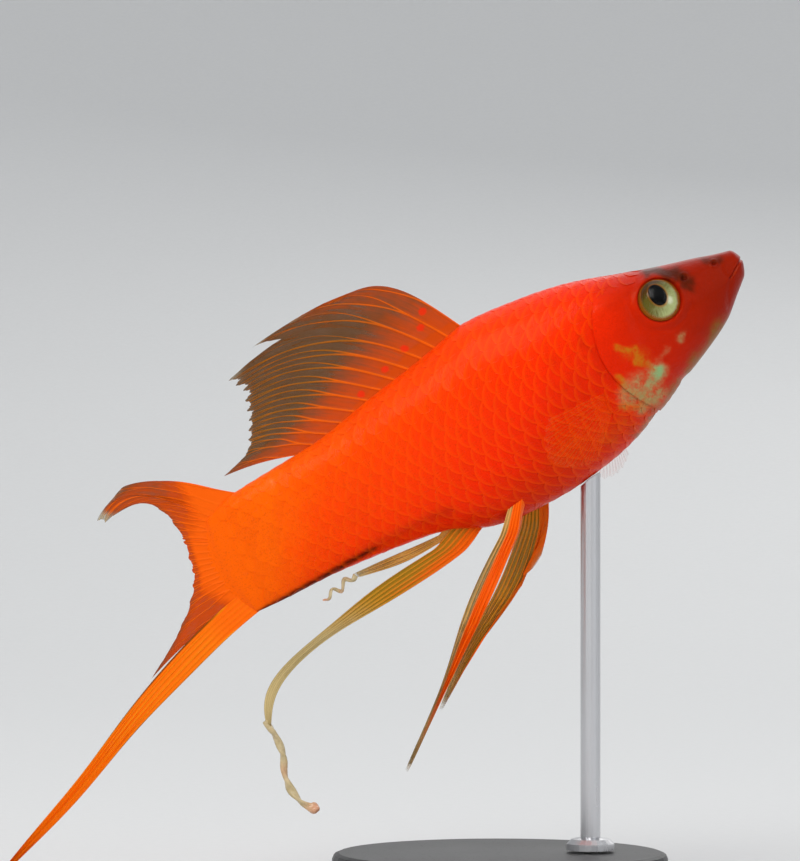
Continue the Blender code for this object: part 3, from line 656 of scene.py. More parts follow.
# the last colour on the next line is a painted turquoise sheen
GOLD, OLIVE, SILVER, SEA_SHEEN = (0.45, 0.2, 0.008), (0.2, 0.1, 0.01), (0.36, 0.3, 0.12), (0.22, 0.5, 0.22)
PAINTS = {
    # mark: (colour, the most of it, how much fine flecks break it up)
    "olive": (OLIVE, 0.85, 1.2),
    "gold": (GOLD, 0.72, 1.3),
    "silver": (SILVER, 0.85, 1.4),
    "sea": (SEA_SHEEN, 0.75, 0.9),
    "soot": (DARK_AND_SHADE, 0.95, 0.3),
}
MOTTLE_SCALE, FLECK_SCALE, GRAIN_OF_MARKS, SPECK_SCALE = 0.35, 2.4, 0.9, 4.5  # to a millimetre
REDS = [(0.0, GILL_RED), (0.2, RED), (0.48, WARM_RED), (0.72, ORANGE_RED), (1.0, ORANGE)]
WARM_START, WARM_RUN, WARM_SLOPE = 18, 58, 1.6  # where the red turns warm, how slowly, and its slant
STALK_GLOW = 60.0, 73.0, 0.0, 0.25
BELLY_SHADE_FADE, SNOUT_FADE, SPECK_EDGE = (-8.0, -13.0), (24.0, 3.0), (0.54, 0.68)


def skin_colour(m, place):
    """The colour of skin and scales at a place on the fish."""
    along, up = parts_of(m, place)[:2]
    mottle = noise(m, place, MOTTLE_SCALE, 3.0, 0.6) - 0.5
    fleck = noise(m, place, FLECK_SCALE, 2.0, 0.7) - 0.5
    warmth = (along + up * WARM_SLOPE + mottle * 12 - WARM_START) / WARM_RUN + between(m, along, *STALK_GLOW)
    colour = m.node("ValToRGB", {"stops": REDS}, {0: warmth + fleck * 0.14})
    # painted shade: the lower side of the fish is made darker red
    belly = between(m, up + fleck * 1.5 + mottle * 3, *BELLY_SHADE_FADE)
    colour = tint(m, belly * 0.5, colour, BELLY_SHADE_RED)
    snout = between(m, along + mottle * 5, *SNOUT_FADE)
    colour = tint(m, snout * 0.95, colour, SNOUT_RED)
    speck = between(m, noise(m, place, SPECK_SCALE, 2.0, 0.6) + mottle * 0.2, *SPECK_EDGE)
    colour = tint(m, speck * 0.2, colour, SPECK_RED)
    grain = noise(m, place, GRAIN_OF_MARKS, 3.0, 0.65) - 0.5
    for name, (paint, most, breaking) in PAINTS.items():
        amount = between(m, number(m, name) * (1 + (fleck + grain * 1.5) * breaking), 0.02, 1.0)
        colour = tint(m, amount * most, colour, paint)
    return colour


print(len(REDS), "reds under", len(PAINTS), "paints")

# %% [markdown]
# Wet skin is a coloured layer under a clear one. The colour is rough, the clear coat over it
# is smooth, and it has a very fine grain of its own. Silver marks are guanine crystals, as in
# a mirror, so they get a little metal.

# %% Skin finish
SKIN_ROUGH, SKIN_COAT, COAT_ROUGH, SKIN_MIRRORS = 0.36, 0.05, 0.12, 0.32
SHEEN_TINT = 1.0, 0.24, 0.03, 1.0  # fish skin mirrors light through its own orange
GRAIN_SCALE, GRAIN_HEIGHT = 6.0, 0.012  # to a millimetre, and millimetres
WRINKLE_SCALE, WRINKLE_HEIGHT = 1.3, 0.09
GROWTH_RINGS, GROWTH_HEIGHT = 62.0, 0.008  # fine rings on a scale, one for each spell of growth


def skin_finish(name, scaled):
    """The finish of the bare skin, or of the scales over it."""
    material, m = new_finish(name)
    place = vector(m, "place")
    colour = skin_colour(m, place)
    silver = between(m, number(m, "silver"), 0.1, 0.9)
    height = noise(m, place, GRAIN_SCALE, 3.0, 0.6) * GRAIN_HEIGHT
    rough = SKIN_ROUGH + 0.12 * (noise(m, place, 1.2, 2.0) - 0.5) - 0.12 * silver
    if scaled:
        rearward, lot = parts_of(m, vector(m, "plate"))[1:]
        rim = between(m, rearward, 0.80, 0.97)
        height = height + m.math("SINE", rearward * GROWTH_RINGS) * GROWTH_HEIGHT * (1 - rim)
        # a painted highlight: lighter orange along each plate's raised free edge
        colour = tint(m, rim * 0.2, colour, ORANGE)
        # painted shade at the plate's root, which lies under the plate in front, mixed with a random tone for
        # each plate
        root_shade = between(m, rearward, 0.42, 0.2)
        colour = tint(m, root_shade * 0.3 + (lot - 0.5) * 0.25, colour, BELLY_SHADE_RED)
        rough = rough + (lot - 0.5) * 0.1
    else:
        height = height + noise(m, place, WRINKLE_SCALE, 4.0, 0.65) * WRINKLE_HEIGHT
    sockets = {"Base Color": colour, "Roughness": rough, "Metallic": silver * 0.35}
    sockets.update({"Specular IOR Level": SKIN_MIRRORS, "Specular Tint": SHEEN_TINT})
    sockets.update({"Coat Weight": SKIN_COAT, "Coat Roughness": COAT_ROUGH})
    relief_surface(m, height, sockets)
    return material


print("skin finish ready")

# %% [markdown]
# The skin is one closed mesh from the lips to the flesh over the tail fin's rays, so no seam
# shows where the solid model is parted. Its rows are closest on the head. At the gill edge
# two extra rows turn under it, which gives the gill cover a real free edge. Round each eye
# the skin rises to a rim and then dives behind the eyeball.
#
# First come the eyes' places. An eye's solid is a flattened ball, and the direction in which
# its points spread least is the way that it faces.

# %% Places of the eyes
SIDES = {"left": 1, "right": -1}


def eye_frame(name):
    """An eye's centre and its outward direction, from its solid."""
    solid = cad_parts[name]
    points = np.array([to_fish(solid.matrix_world @ vert.co) for vert in solid.data.vertices])
    centre = (points.min(axis=0) + points.max(axis=0)) / 2
    outward = np.linalg.eigh(np.cov((points - centre).T))[1][:, 0]
    return centre, outward * math.copysign(1, outward[2] * centre[2])


EYES = {side: eye_frame("eye_" + side) for side in SIDES}
print("eye:", EYES["right"][0].round(2), "facing", EYES["right"][1].round(3))

# %% [markdown]
# Rows lie about an eighth of a millimetre apart on the head, where the relief is fine, and
# nearly four times as far apart on the body, which the scales cover.

# %% Rows of the skin
HEAD_STEP, BODY_STEP, FLANK_COUNT = 0.122, 0.45, 140
NOSE_ROWS, FLESH_ROWS = 15, 7

nose = NOSE_ROUND * (1 - np.cos(np.linspace(math.radians(4), math.pi / 2, NOSE_ROWS)))
head = np.arange(NOSE_ROUND + HEAD_STEP, GILL_REAR, HEAD_STEP)
body = np.linspace(GILL_REAR, TAIL_BASE, 2 + int((TAIL_BASE - GILL_REAR) / BODY_STEP))
flesh_end = np.linspace(TAIL_BASE, TAIL_BASE + TAIL_FLESH, FLESH_ROWS + 1)[1:]
nominal = np.concatenate([nose, head, body, flesh_end])
edge = len(nose) + len(head)  # the row on the gill cover's free edge
rings = both_flanks(flank_rows(station_of(nominal), FLANK_COUNT)[0])
normals = ring_normals(rings)
tucked = below_nape(rings[edge, :, 1])

# The rows at the gill edge: the cover's edge, its underside, and the skin under it.
order = np.concatenate([np.arange(edge + 1), [edge, edge], np.arange(edge + 1, len(nominal))])
rings, normals, nominal = rings[order], normals[order], nominal[order]
print(len(nominal), "rows of", rings.shape[1], "points,", edge, "of them on the head")

# %% [markdown]
# Each row is raised by the relief of the head. The gill cover's underside keeps a third of its
# swelling. Behind it the skin lies a little deeper, and over four millimetres comes up again.

# %% Relief and eye sockets
TUCK_UNDER, TUCK_DEPTH, TUCK_LENGTH, UNDERSIDE = 0.35, 0.05, 4.0, 0.35
SOCKET_RIM, SOCKET_LIP, SOCKET_EDGE = 2.95, 2.62, 2.3
LIP_DROP, SOCKET_DROP, SOCKET_REACH = 0.45, 2.1, (-2.5, -1.5)

head_along, head_up = rings[: edge + 1, :, 0], rings[: edge + 1, :, 1]
cover = cover_height(head_along, head_up)
height = np.zeros(rings.shape[:2])
height[: edge + 1] = cover
height[edge + 1] = UNDERSIDE * cover[edge]
height[: edge + 1] += head_relief(head_along, head_up, EYES["right"][0][:2])
height[edge + 2 :] -= TUCK_DEPTH * ease(TUCK_LENGTH, 0.0, nominal[edge + 2 :] - GILL_REAR)[:, None]
skin_places = rings + normals * height[..., None]
skin_places[edge + 2, :, 0] -= TUCK_UNDER * tucked
for centre, outward in EYES.values():
    offset = skin_places - centre
    axial = offset @ outward
    planar = np.linalg.norm(offset - axial[..., None] * outward, axis=2)
    drop = LIP_DROP * ease(SOCKET_RIM, SOCKET_LIP, planar)
    drop += SOCKET_DROP * ease(SOCKET_LIP, SOCKET_EDGE, planar)
    skin_places -= outward * (drop * ease(*SOCKET_REACH, axial))[..., None]
print("highest relief:", round(height.max(), 2), "mm, deepest:", round(height.min(), 2), "mm")

# %% [markdown]
# The rows are joined by squares. At the tail the last row is folded flat, so strips from its
# left half to its right half close it, with a triangle at either end. One face closes the
# snout, inside the lips.

# %% Skin
SKIN_LENGTH = TAIL_BASE + TAIL_FLESH

ring_count, around = skin_places.shape[:2]
cells = grid_cells(ring_count, around + 1)
skin_faces = cells[..., 0] * around + cells[..., 1] % around
skin_flat = np.stack([nominal[cells[..., 0]] / SKIN_LENGTH, cells[..., 1] / around], axis=-1) * 0.98
last, half = (ring_count - 1) * around, around // 2
k = np.arange(1, half - 1)
strips = last + np.stack([k, k + 1, around - k - 1, around - k], axis=1)
tips = last + np.array([(0, 1, around - 1), (half, half + 1, half - 1)])
ends = [strips, tips, np.arange(around)[None, ::-1]]
flat_ends = [np.full((*faces.shape, 2), 0.99) for faces in ends]
flat_points = skin_places.reshape(-1, 3)
skin_paint = skin_finish("red_skin", scaled=False)
skin_marks = marks_at(flat_points[:, 0], flat_points[:, 1])
add_piece("skin", flat_points, [skin_faces, *ends], [skin_flat, *flat_ends], skin_paint,
          ("head", "torso", "tail_stalk"), skin_marks)

# %% [markdown]
# A swordtail's scales are thin round-edged plates that overlap like tiles, each with its free
# edge towards the tail. They could be a pattern in the finish, but real plates catch the light
# at their edges and show in the bare mesh too. The lattice is staggered, with one row down the
# middle of the back. Each plate follows the body's own curve, rises a little from root to
# edge, and starts under the gill cover.

# %% Lattice of scales
SCALE_PITCH, SCALE_ROW = 1.87, 1.95  # from one to the next along a row, and between rows
SCALES_FRONT, SCALES_REAR = 13.0, 73.6
ROW_NARROWING = 0.6
TABLE_STEP, TABLE_COUNT, TABLE_AHEAD = 0.25, 240, 5
SCALE_SEED, SCALE_STRAY = 7, 0.035
BELLY_GAP, GILL_GAP, NAPE_OVER = 0.25, 0.3, 0.5  # where no plate starts

table_nominal = np.arange(SCALES_FRONT - TABLE_AHEAD, SKIN_LENGTH, TABLE_STEP)
table_rows, table_arcs = flank_rows(station_of(table_nominal), TABLE_COUNT)
table = both_flanks(table_rows)
table_normals = ring_normals(table)


def on_body(values, row, share):
    """Values of the table read between its rows and points. share is 0 on the back, 1 on the
    belly, and below 0 on the right flank."""
    row = np.clip(row, 0, len(table) - 1.001)
    column = (share * TABLE_COUNT) % (2 * TABLE_COUNT)
    r, c = row.astype(int), column.astype(int)
    v, u = (row - r)[..., None], (column - c)[..., None]
    after = (c + 1) % (2 * TABLE_COUNT)
    near = values[r, c] * (1 - u) + values[r, after] * u
    return near * (1 - v) + (values[r + 1, c] * (1 - u) + values[r + 1, after] * u) * v


def table_row(place):
    """The table's row, with its fraction, at a distance behind the snout."""
    return (place - table_nominal[0]) / TABLE_STEP


def arc_at(place):
    """Half the body's girth at a distance behind the snout."""
    return np.interp(place, table_nominal, table_arcs)


def scale_roots():
    """Distance behind the snout, offset from the back's middle, row pitch, turn and lot."""
    drawn = np.random.default_rng(SCALE_SEED)
    roots = []
    for column in range(int(2 * (SCALES_REAR - SCALES_FRONT) / SCALE_PITCH)):
        place = SCALES_FRONT + column * SCALE_PITCH / 2
        arc = arc_at(place)
        pitch = SCALE_ROW * (arc / table_arcs.max()) ** ROW_NARROWING
        for row in range(-int(arc / pitch), int(arc / pitch) + 1):
            near_belly = arc - abs(row) * pitch < BELLY_GAP * pitch
            if (row + column) % 2 or near_belly:
                continue
            share = row * pitch / arc
            up = on_body(table, np.array([table_row(place)]), np.array([share]))[0, 1]
            if place < gill_edge(up) + GILL_GAP and up < GILL_TOP - NAPE_OVER:
                continue
            shift, turn = drawn.normal(0, SCALE_STRAY, 2)
            roots.append((place + shift, row * pitch, pitch, turn, drawn.random()))
    return np.array(roots)


roots = scale_roots()
print(len(roots), "scales")

# %% [markdown]
# All plates are shaped at once, as one grid of numbers with a layer for each plate. A plate is
# widest at its free edge, which is round. Near the middle of the back and of the belly, where
# the body is sharply curved, the plates lie flatter.

# %% Shape of the plates
SCALE_LENGTH, SCALE_REACH, SCALE_BULGE, ROOT_WIDTH = 3.0, 1.13, 0.92, 0.82
ROOT_SUNK, EDGE_RAISED, SCALE_THICK = 0.05, 0.1, 0.12
FLATTER, FLAT_REACH = 0.6, 0.12
PLATE_ROWS, PLATE_COLUMNS = 6, 9

across = np.sin(np.linspace(-1, 1, PLATE_COLUMNS) * math.pi / 2)
rearward = np.linspace(0, 1, PLATE_ROWS) ** 0.8
grid_b, grid_a = np.meshgrid(rearward, across, indexing="ij")
rear = -SCALE_BULGE * SCALE_PITCH * (1 - np.sqrt(1 - 0.985 * grid_a**2))
plate_along = -SCALE_LENGTH + (rear + SCALE_LENGTH) * grid_b
start, aside, pitch, turn, lot = (column[:, None, None] for column in roots.T)
half_height = pitch * SCALE_REACH * (ROOT_WIDTH + (1 - ROOT_WIDTH) * np.sqrt(grid_b))
plate_nominal = start + SCALE_PITCH / 2 + plate_along + turn * grid_a
plate_aside = aside + half_height * grid_a
arc_here = arc_at(plate_nominal)
plate_share = plate_aside * (arc_here / arc_at(start)) ** ROW_NARROWING / arc_here
flatter = 1 - FLATTER * ease(FLAT_REACH, 0.0, abs(0.5 - abs(abs(plate_share) - 0.5)))
lift = -ROOT_SUNK + (EDGE_RAISED * flatter + ROOT_SUNK) * grid_b
plate_points = on_body(table, table_row(plate_nominal), plate_share)
plate_normals = on_body(table_normals, table_row(plate_nominal), plate_share)
top = plate_points + plate_normals * lift[..., None]
under = plate_points + plate_normals * (lift - SCALE_THICK)[..., None]
print("a plate stands", EDGE_RAISED, "mm off the body at its free edge")

# %% [markdown]
# Each plate is closed: a top, an underside and a wall round its border. Its points keep their
# place on the plate and the plate's own lot, by which its finish differs a little.

# %% Scales
PATCH = 0.003  # a plate's size on the flat map

per_face = PLATE_ROWS * PLATE_COLUMNS
both = np.stack([top.reshape(len(roots), per_face, 3), under.reshape(len(roots), per_face, 3)], axis=1)
index = np.arange(per_face).reshape(PLATE_ROWS, PLATE_COLUMNS)
border = np.concatenate([index[0, :-1], index[:-1, -1], index[-1, :0:-1], index[:0:-1, 0]])
plate_cells = grid_cells(PLATE_ROWS, PLATE_COLUMNS)
tops = plate_cells[..., 0] * PLATE_COLUMNS + plate_cells[..., 1]
after = np.roll(border, -1)
wall = np.stack([border, border + per_face, after + per_face, after], axis=1)
one_plate = np.concatenate([tops, tops[:, ::-1] + per_face, wall])
scale_faces = (one_plate + 2 * per_face * np.arange(len(roots))[:, None, None]).reshape(-1, 4)
scale_places = both.reshape(-1, 3)
plate_numbers = np.empty((len(roots), 2, per_face, 3))
plate_numbers[..., 0], plate_numbers[..., 1] = grid_a.ravel(), grid_b.ravel()
plate_numbers[..., 2] = lot
plate_numbers = plate_numbers.reshape(-1, 3)
around_body = (roots[:, 1] / table_arcs.max() / 2) % 1
patch_at = np.stack([roots[:, 0] / SKIN_LENGTH, around_body], axis=1) * 0.98
patch_form = plate_numbers[:, :2] * (0.5, 1.0) * PATCH
scale_flat = (np.repeat(patch_at, 2 * per_face, axis=0) + patch_form)[scale_faces]
scale_paint = skin_finish("red_scales", scaled=True)
scale_marks = marks_at(scale_places[:, 0], scale_places[:, 1])
add_piece("scales", scale_places, [scale_faces], [scale_flat], scale_paint, (),
          {**scale_marks, "plate": plate_numbers})

# %% [markdown]
# Eyes, tubes and threads are stacks of closed rings. One function joins the rings and closes
# both ends.

# %% Stacks of rings
def stacked(rings):
    """Faces and flat map of rings (rings, points, 3), each of which closes on itself."""
    count, around = rings.shape[:2]
    cells = grid_cells(count, around + 1)
    sides = cells[..., 0] * around + cells[..., 1] % around
    flat = cells / (count - 1, around) * 0.96
    first = np.arange(around)[None, ::-1]
    ends = [first, (count - 1) * around + np.arange(around)[None]]
    turn = np.linspace(0, 2 * math.pi, around, endpoint=False)
    disc = 0.98 + 0.01 * np.stack([np.cos(turn), np.sin(turn)], axis=-1)[None]
    return [sides, *ends], [flat, disc[:, ::-1] - (0, 0.5), disc]


print("two rings of six points make", sum(len(group) for group in stacked(np.zeros((2, 6, 3)))[0]), "faces")

# %% [markdown]
# A fish's eye has no lids. It is a flattened ball under a clear cornea, with a pupil that the
# round lens fills. The iris here is real relief round the pupil, with fine spokes. It is
# silvery green, brightest below in front, with a thin gold ring at both edges. The cornea is
# a shell of its own, because only a clear layer above the iris gives the eye its depth.

# %% Shape of the eyes
PUPIL_RADIUS, PUPIL_UP, PUPIL_REAR = 1.2, 0.62, 0.1
EYE_DEPTH, CORNEA_RISE, CORNEA_THICK = 1.55, 0.1, 0.05
EYE_AROUND, IRIS_RINGS = 96, 44
PUPIL_TALL, PUPIL_NARROW = 0.36, 0.2
PUPIL_EDGE = PUPIL_RADIUS / EYE_RADIUS
IRIS_SUNK, COLLAR_RISE, LENS_RISE = 0.2, 0.07, 0.04
EYE_BACK = 0.96, 0.85, 0.7, 0.5, 0.25  # the rings of the eyeball's back, as shares of its radius
CORNEA_RINGS, CORNEA_EDGE = 24, 0.985


def eye_directions(side):
    """The eye's centre, and its tailward, upward and outward directions."""
    centre, outward = EYES[side]
    rearward = unit(np.cross((0, 1, 0), outward)) * SIDES[side]
    upward = np.cross(outward, rearward) * SIDES[side]
    return centre, rearward, upward, outward


def eye_rings(shares, rise):
    """Rings from the pupil's middle to the rim, in the eye's own directions."""
    shift = np.array([PUPIL_REAR, PUPIL_UP]) / (1 - PUPIL_EDGE)
    angle = np.linspace(0, 2 * math.pi, EYE_AROUND, endpoint=False)
    share = shares[:, None]
    x = shift[0] * (1 - share) + share * EYE_RADIUS * np.cos(angle) * (1 - PUPIL_NARROW * (1 - share))
    y = shift[1] * (1 - share) + share * EYE_RADIUS * np.sin(angle) * (1 + PUPIL_TALL * (1 - share))
    z = (EYE_DEPTH + rise) * np.sqrt(np.clip(1 - (x**2 + y**2) / EYE_RADIUS**2, 0, 1))
    return np.stack([x, y, z], axis=-1)


print("the pupil reaches", round(100 * PUPIL_EDGE), "percent of the way to the rim")

# %% [markdown]
# The iris has two layers of spokes, coarse and fine. Both are noise read in a space where the
# direction round the pupil counts for much and the distance from it for little. The cornea
# mirrors more the more it slopes away, as all clear things do, but only up to a limit.

# %% Finishes of the eyes
IRIS_GREEN, IRIS_BRIGHT = (0.12, 0.1, 0.01), (0.5, 0.56, 0.24)
IRIS_DARK, IRIS_GOLD = (0.07, 0.022, 0.003), (0.36, 0.1, 0.005)
# the last two values on the next line place and colour a painted glint, low in front of the pupil
IRIS_GLINT_AT, IRIS_GLINT = (-0.96, -1.25), (0.8, 0.83, 0.6)  # a mirror-bright spot by the pupil
PUPIL_BLACK = 0.001, 0.001, 0.0015
COARSE, FINE_SPOKES = (7, 0.8, 1.6, 3.0), (22, 1.5, 1.0, 2.0)  # round, outward, scale and detail
SPOKE_HEIGHT = 0.05
RIM_GLARE = 0.12  # the most that the cornea mirrors, at its rim


def iris_finish():
    """Spokes and finer fibres run outward from the pupil; marks are laid over their green."""
    material, m = new_finish("eye")
    across, upward, share = parts_of(m, vector(m, "iris"))
    radius = m.math("SQRT", across**2 + upward**2)
    layers = []
    for turned, outward, scale, detail in (COARSE, FINE_SPOKES):
        spread = combined(m, across / radius * turned, upward / radius * turned, radius * outward)
        layers.append(noise(m, spread, scale, detail))
    spokes, fibre = layers[0], layers[1] - 0.5
    light = between(m, fibre * 2.6 + across * -0.55 + upward * -0.75 + spokes * 1.2, 0.1, 3.2)
    colour = tint(m, light, IRIS_GREEN, IRIS_BRIGHT)
    # a painted glint: a pale highlight painted on the iris, low in front of the pupil
    off_glint = m.math("SQRT", (across - IRIS_GLINT_AT[0]) ** 2 + (upward - IRIS_GLINT_AT[1]) ** 2)
    colour = tint(m, between(m, off_glint + fibre * 0.5, 0.75, 0.15) * 0.8, colour, IRIS_GLINT)
    colour = tint(m, between(m, upward + across * 0.3 + spokes * 0.8, 0.7, 2.0) * 0.9, colour, IRIS_DARK)
    colour = tint(m, between(m, share + spokes * 0.1, 0.84, 0.96) * 0.95, colour, IRIS_GOLD)
    colour = tint(m, between(m, share, PUPIL_EDGE + 0.09, PUPIL_EDGE + 0.02) * 0.65, colour, IRIS_GOLD)
    pupil = between(m, share, PUPIL_EDGE + 0.015, PUPIL_EDGE - 0.015)
    colour = tint(m, pupil, colour, PUPIL_BLACK)
    sockets = {"Base Color": colour, "Metallic": (1 - pupil) * 0.15, "Roughness": 0.4 - 0.2 * pupil}
    relief_surface(m, (spokes + fibre) * SPOKE_HEIGHT * (1 - pupil), {**sockets, "Specular IOR Level": 0.03})
    return material


def cornea_finish():
    """A clear film: what it doesn't mirror, it lets through."""
    material, m = new_finish("cornea")
    wet = noise(m, vector(m, "place"), 1.5, 1.0)
    mirrored = m.node("BsdfGlossy", {}, {"Color": (0.3, 0.3, 0.3, 1), "Roughness": 0.03 + 0.02 * wet})
    clear = m.node("BsdfTransparent", {}, {"Color": (1, 1, 1, 1)})
    share = m.math("MINIMUM", m.node("Fresnel", {}, {"IOR": 1.3}), RIM_GLARE)
    surface(m, m.node("MixShader", {}, {0: share, 1: clear, 2: mirrored}))
    return material


print("finishes of the eye: iris and cornea")

# %% [markdown]
# The iris is sunk behind the pupil's edge, with a low collar round it, and the lens bulges a
# little through the pupil. The cornea follows the same oval a tenth of a millimetre above.

# %% Eyes
def add_ball(name, side, rings, finish, nodes=(), numbers=None):
    """A closed piece from rings in the eye's own directions. On the left side these mirror the
    right side's, so there the faces are turned over to look outward."""
    centre, *directions = eye_directions(side)
    faces, flat = stacked(rings)
    if SIDES[side] > 0:
        faces, flat = [part[..., ::-1] for part in faces], [part[..., ::-1, :] for part in flat]
    places = (centre + rings @ np.array(directions)).reshape(-1, 3)
    add_piece(name + side, places, faces, flat, finish, nodes, numbers)


def add_eye(side, iris, cornea):
    """The eyeball, with its iris in relief, and the cornea over it."""
    shares = np.concatenate([[0.01], np.linspace(0.03, 1, IRIS_RINGS)])
    rings = eye_rings(shares, 0)
    lens = ease(PUPIL_EDGE + 0.02, PUPIL_EDGE - 0.1, shares)
    collar = bell(shares - PUPIL_EDGE - 0.06, 0.05)
    relief = -IRIS_SUNK * (1 - lens) + COLLAR_RISE * collar + LENS_RISE * lens
    rings[..., 2] += (relief * (1 - ease(0.9, 1.0, shares)))[:, None]
    back = [eye_rings(np.array([share]), 0)[0] * (1, 1, -1) for share in EYE_BACK]
    rings = np.concatenate([rings, back])
    form = rings - (PUPIL_REAR, PUPIL_UP, 0)
    form[..., 2] = np.concatenate([shares, np.ones(len(back))])[:, None]
    add_ball("eyeball_", side, rings, iris, ("eye_" + side,), {"iris": form.reshape(-1, 3)})

    shares = np.linspace(0.02, CORNEA_EDGE, CORNEA_RINGS)
    outer, inner = eye_rings(shares, CORNEA_RISE), eye_rings(shares[::-1], CORNEA_RISE - CORNEA_THICK)
    add_ball("cornea_", side, np.concatenate([outer, inner]), cornea)


eye_finishes = iris_finish(), cornea_finish()
for side_name in SIDES:
    add_eye(side_name, *eye_finishes)

# %% [markdown]
# A fin is a web between bony rays. Each ray is made of short segments, and further out it
# splits in two and then in four. The web and rays could be separate pieces, but in a real fin
# they are one skin, so here a fin is one thin closed sheet that swells over each ray. The rays
# come first, as curves from a root inside the flesh to a tip on the fin's margin.

# %% Rays
RAY_BEND = 0.42, 0.42
ROOT_IN = 0.7  # how deep in the flesh a ray starts
STEPS = 84
SHARES = np.linspace(0, 1, STEPS)
BELLY_DRAW = 0.12  # the share of a ray that bends to meet the belly


def profile_at(along, side, above):
    """The height of the back, or of the belly, at a distance off the middle plane."""
    back, belly, half, middle = body_at(along)
    square = back_square(along) if above else BELLY_SQUARE
    share = (1 - np.clip(abs(side) / half, 0, 0.99) ** square) ** (1 / square)
    return middle + ((back - middle) if above else (belly - middle)) * share


def rooted(along, side=0.0, above=True):
    """A ray's first point, inside the back or the belly."""
    return along, float(profile_at(along, side, above)) + (-ROOT_IN if above else ROOT_IN), side


def curve_through(points, shares):
    """Points on a smooth curve through the given ones, at shares of its length."""
    points = np.array(points, float)
    lengths = distances(points)
    return np.array([smooth(lengths / lengths[-1], column, shares) for column in points.T]).T


def softened(line, rounds=60):
    """The line with its bends made rounder."""
    for _ in range(rounds):
        line[1:-1] += 0.5 * (line[2:] + line[:-2] - 2 * line[1:-1])
    return line


def bent_ray(root, tip, lean, trail):
    """A ray that leaves its root at the angle lean above the axis and ends at trail."""
    root, tip = np.array(root, float), np.array(tip, float)
    length = np.linalg.norm(tip - root)
    start, end = (np.array([math.cos(a), math.sin(a)]) for a in (math.radians(lean), math.radians(trail)))
    first, second = root + start * length * RAY_BEND[0], tip - end * length * RAY_BEND[1]
    u = SHARES[:, None]
    return (1 - u) ** 3 * root + 3 * u * (1 - u) ** 2 * first + 3 * u * u * (1 - u) * second + u**3 * tip


def ribbon_rays(edge_a, edge_b, count, side=None, spread=0.0):
    """Rays spread evenly between two edges. side gives the distance off the middle plane
    along them, and spread how much further off it the first one is than the last."""
    first, last = (softened(curve_through(edge, SHARES)) for edge in (edge_a, edge_b))
    off = np.zeros(STEPS) if side is None else side(SHARES)
    parts = np.linspace(0, 1, count)
    return np.array([np.column_stack([first + (last - first) * p, off + spread * (0.5 - p)]) for p in parts])


def belly_roots(rays):
    """Draws the start of each ray into the belly."""
    for ray in rays:
        root = np.array(rooted(ray[0, 0], ray[0, 2], above=False))
        ray += (root - ray[0]) * (1 - ease(0.0, BELLY_DRAW, SHARES))[:, None]
    return rays


print("a ray in the middle of the back starts at", np.round(rooted(45.0), 2))


# %% [markdown]
# From rays to a sheet: the rays are blended into many lines, and the margin between two rays
# is drawn in a little. Where a ray or one of its branches runs, the sheet is half round, and
# elsewhere it is a thin web. The distance to the nearest branch is a folded fraction:
# |off - first| is the distance to either of two branches, and folding it again gives four.
# The finish uses the same fold, so its colour lies exactly on the relief.

# %% From rays to a sheet
FIRST_FORK, SECOND_FORK = (0.22, 0.62, 0.25), (0.7, 1.0, 0.1)  # start, end and width
RAY_HALF, WEB_HALF, FLESH_HALF, FLESH_REACH = (0.17, 0.055), (0.06, 0.03), 0.45, 0.07
FRAY, FRAY_SEED, NOTCH_POINT = 0.012, 11, 1.4


def closed_sheet(middle, half):
    """A closed sheet about a grid of middle points. half is 0 round the grid's border."""
    rows, columns = half.shape
    normal = unit(np.cross(np.gradient(middle, axis=1), np.gradient(middle, axis=0)))
    inner = np.zeros(half.shape, bool)
    inner[1:-1, 1:-1] = True
    upper = np.arange(rows * columns).reshape(rows, columns)
    lower = upper.copy()
    lower[inner] = rows * columns + np.arange(inner.sum())
    top, under = middle + normal * half[..., None], middle - normal * half[..., None]
    cells = grid_cells(rows, columns)
    faces = [grid[cells[..., 0], cells[..., 1]] for grid in (upper, lower)]
    flat = cells / (rows - 1, columns - 1) * (0.49, 0.98)
    places = np.concatenate([top.reshape(-1, 3), under[inner]])
    return places, [faces[0], faces[1][:, ::-1]], [flat, flat[:, ::-1] + (0.5, 0)], inner


def padded(grid, outward):
    """The grid with one more row and column on every side, further out by the given amount."""
    wide = np.pad(grid, ((1, 1), (1, 1), (0, 0)), mode="edge")
    for axis in (0, 1):
        lines = np.moveaxis(wide, axis, 0)
        for edge, inside in ((0, 1), (-1, -2)):
            step = unit(lines[inside] - lines[2 if edge == 0 else -3])
            lines[edge] = lines[inside] + step * outward
    return wide


def blended(rays, per_gap):
    """Many lines (lines, steps, 3) from few rays, and each line's number among the rays."""
    count = len(rays)
    ray_number = np.linspace(0, count - 1, (count - 1) * per_gap + 1)
    steps = [[smooth(np.arange(count), rays[:, s, c], ray_number) for c in range(3)] for s in range(STEPS)]
    return np.transpose(np.array(steps), (2, 0, 1)), ray_number


def margin_reach(ray_number, notches, scallop, fray):
    """How much of its length each line keeps, where the margin is drawn in between the rays."""
    off = abs(ray_number - np.round(ray_number))
    drawn_in = scallop * np.sin(math.pi * off) ** 2
    for after, depth in notches.items():
        cleft = (ray_number > after) & (ray_number < after + 1)
        drawn_in[cleft] = depth * (2 * off[cleft]) ** NOTCH_POINT
    frayed = np.random.default_rng(FRAY_SEED).normal(0, fray, len(off))
    frayed *= np.sin(2 * math.pi * off).clip(0, 1)
    return 1 - np.clip(drawn_in + abs(frayed), 0, 0.9)


def from_to(pair, share):
    """A size that changes evenly along a ray, from the first of a pair to the second."""
    return pair[0] + (pair[1] - pair[0]) * share


print("a sheet is", 2000 * WEB_HALF[0], "to", 2000 * WEB_HALF[1], "micrometres thick between its rays")

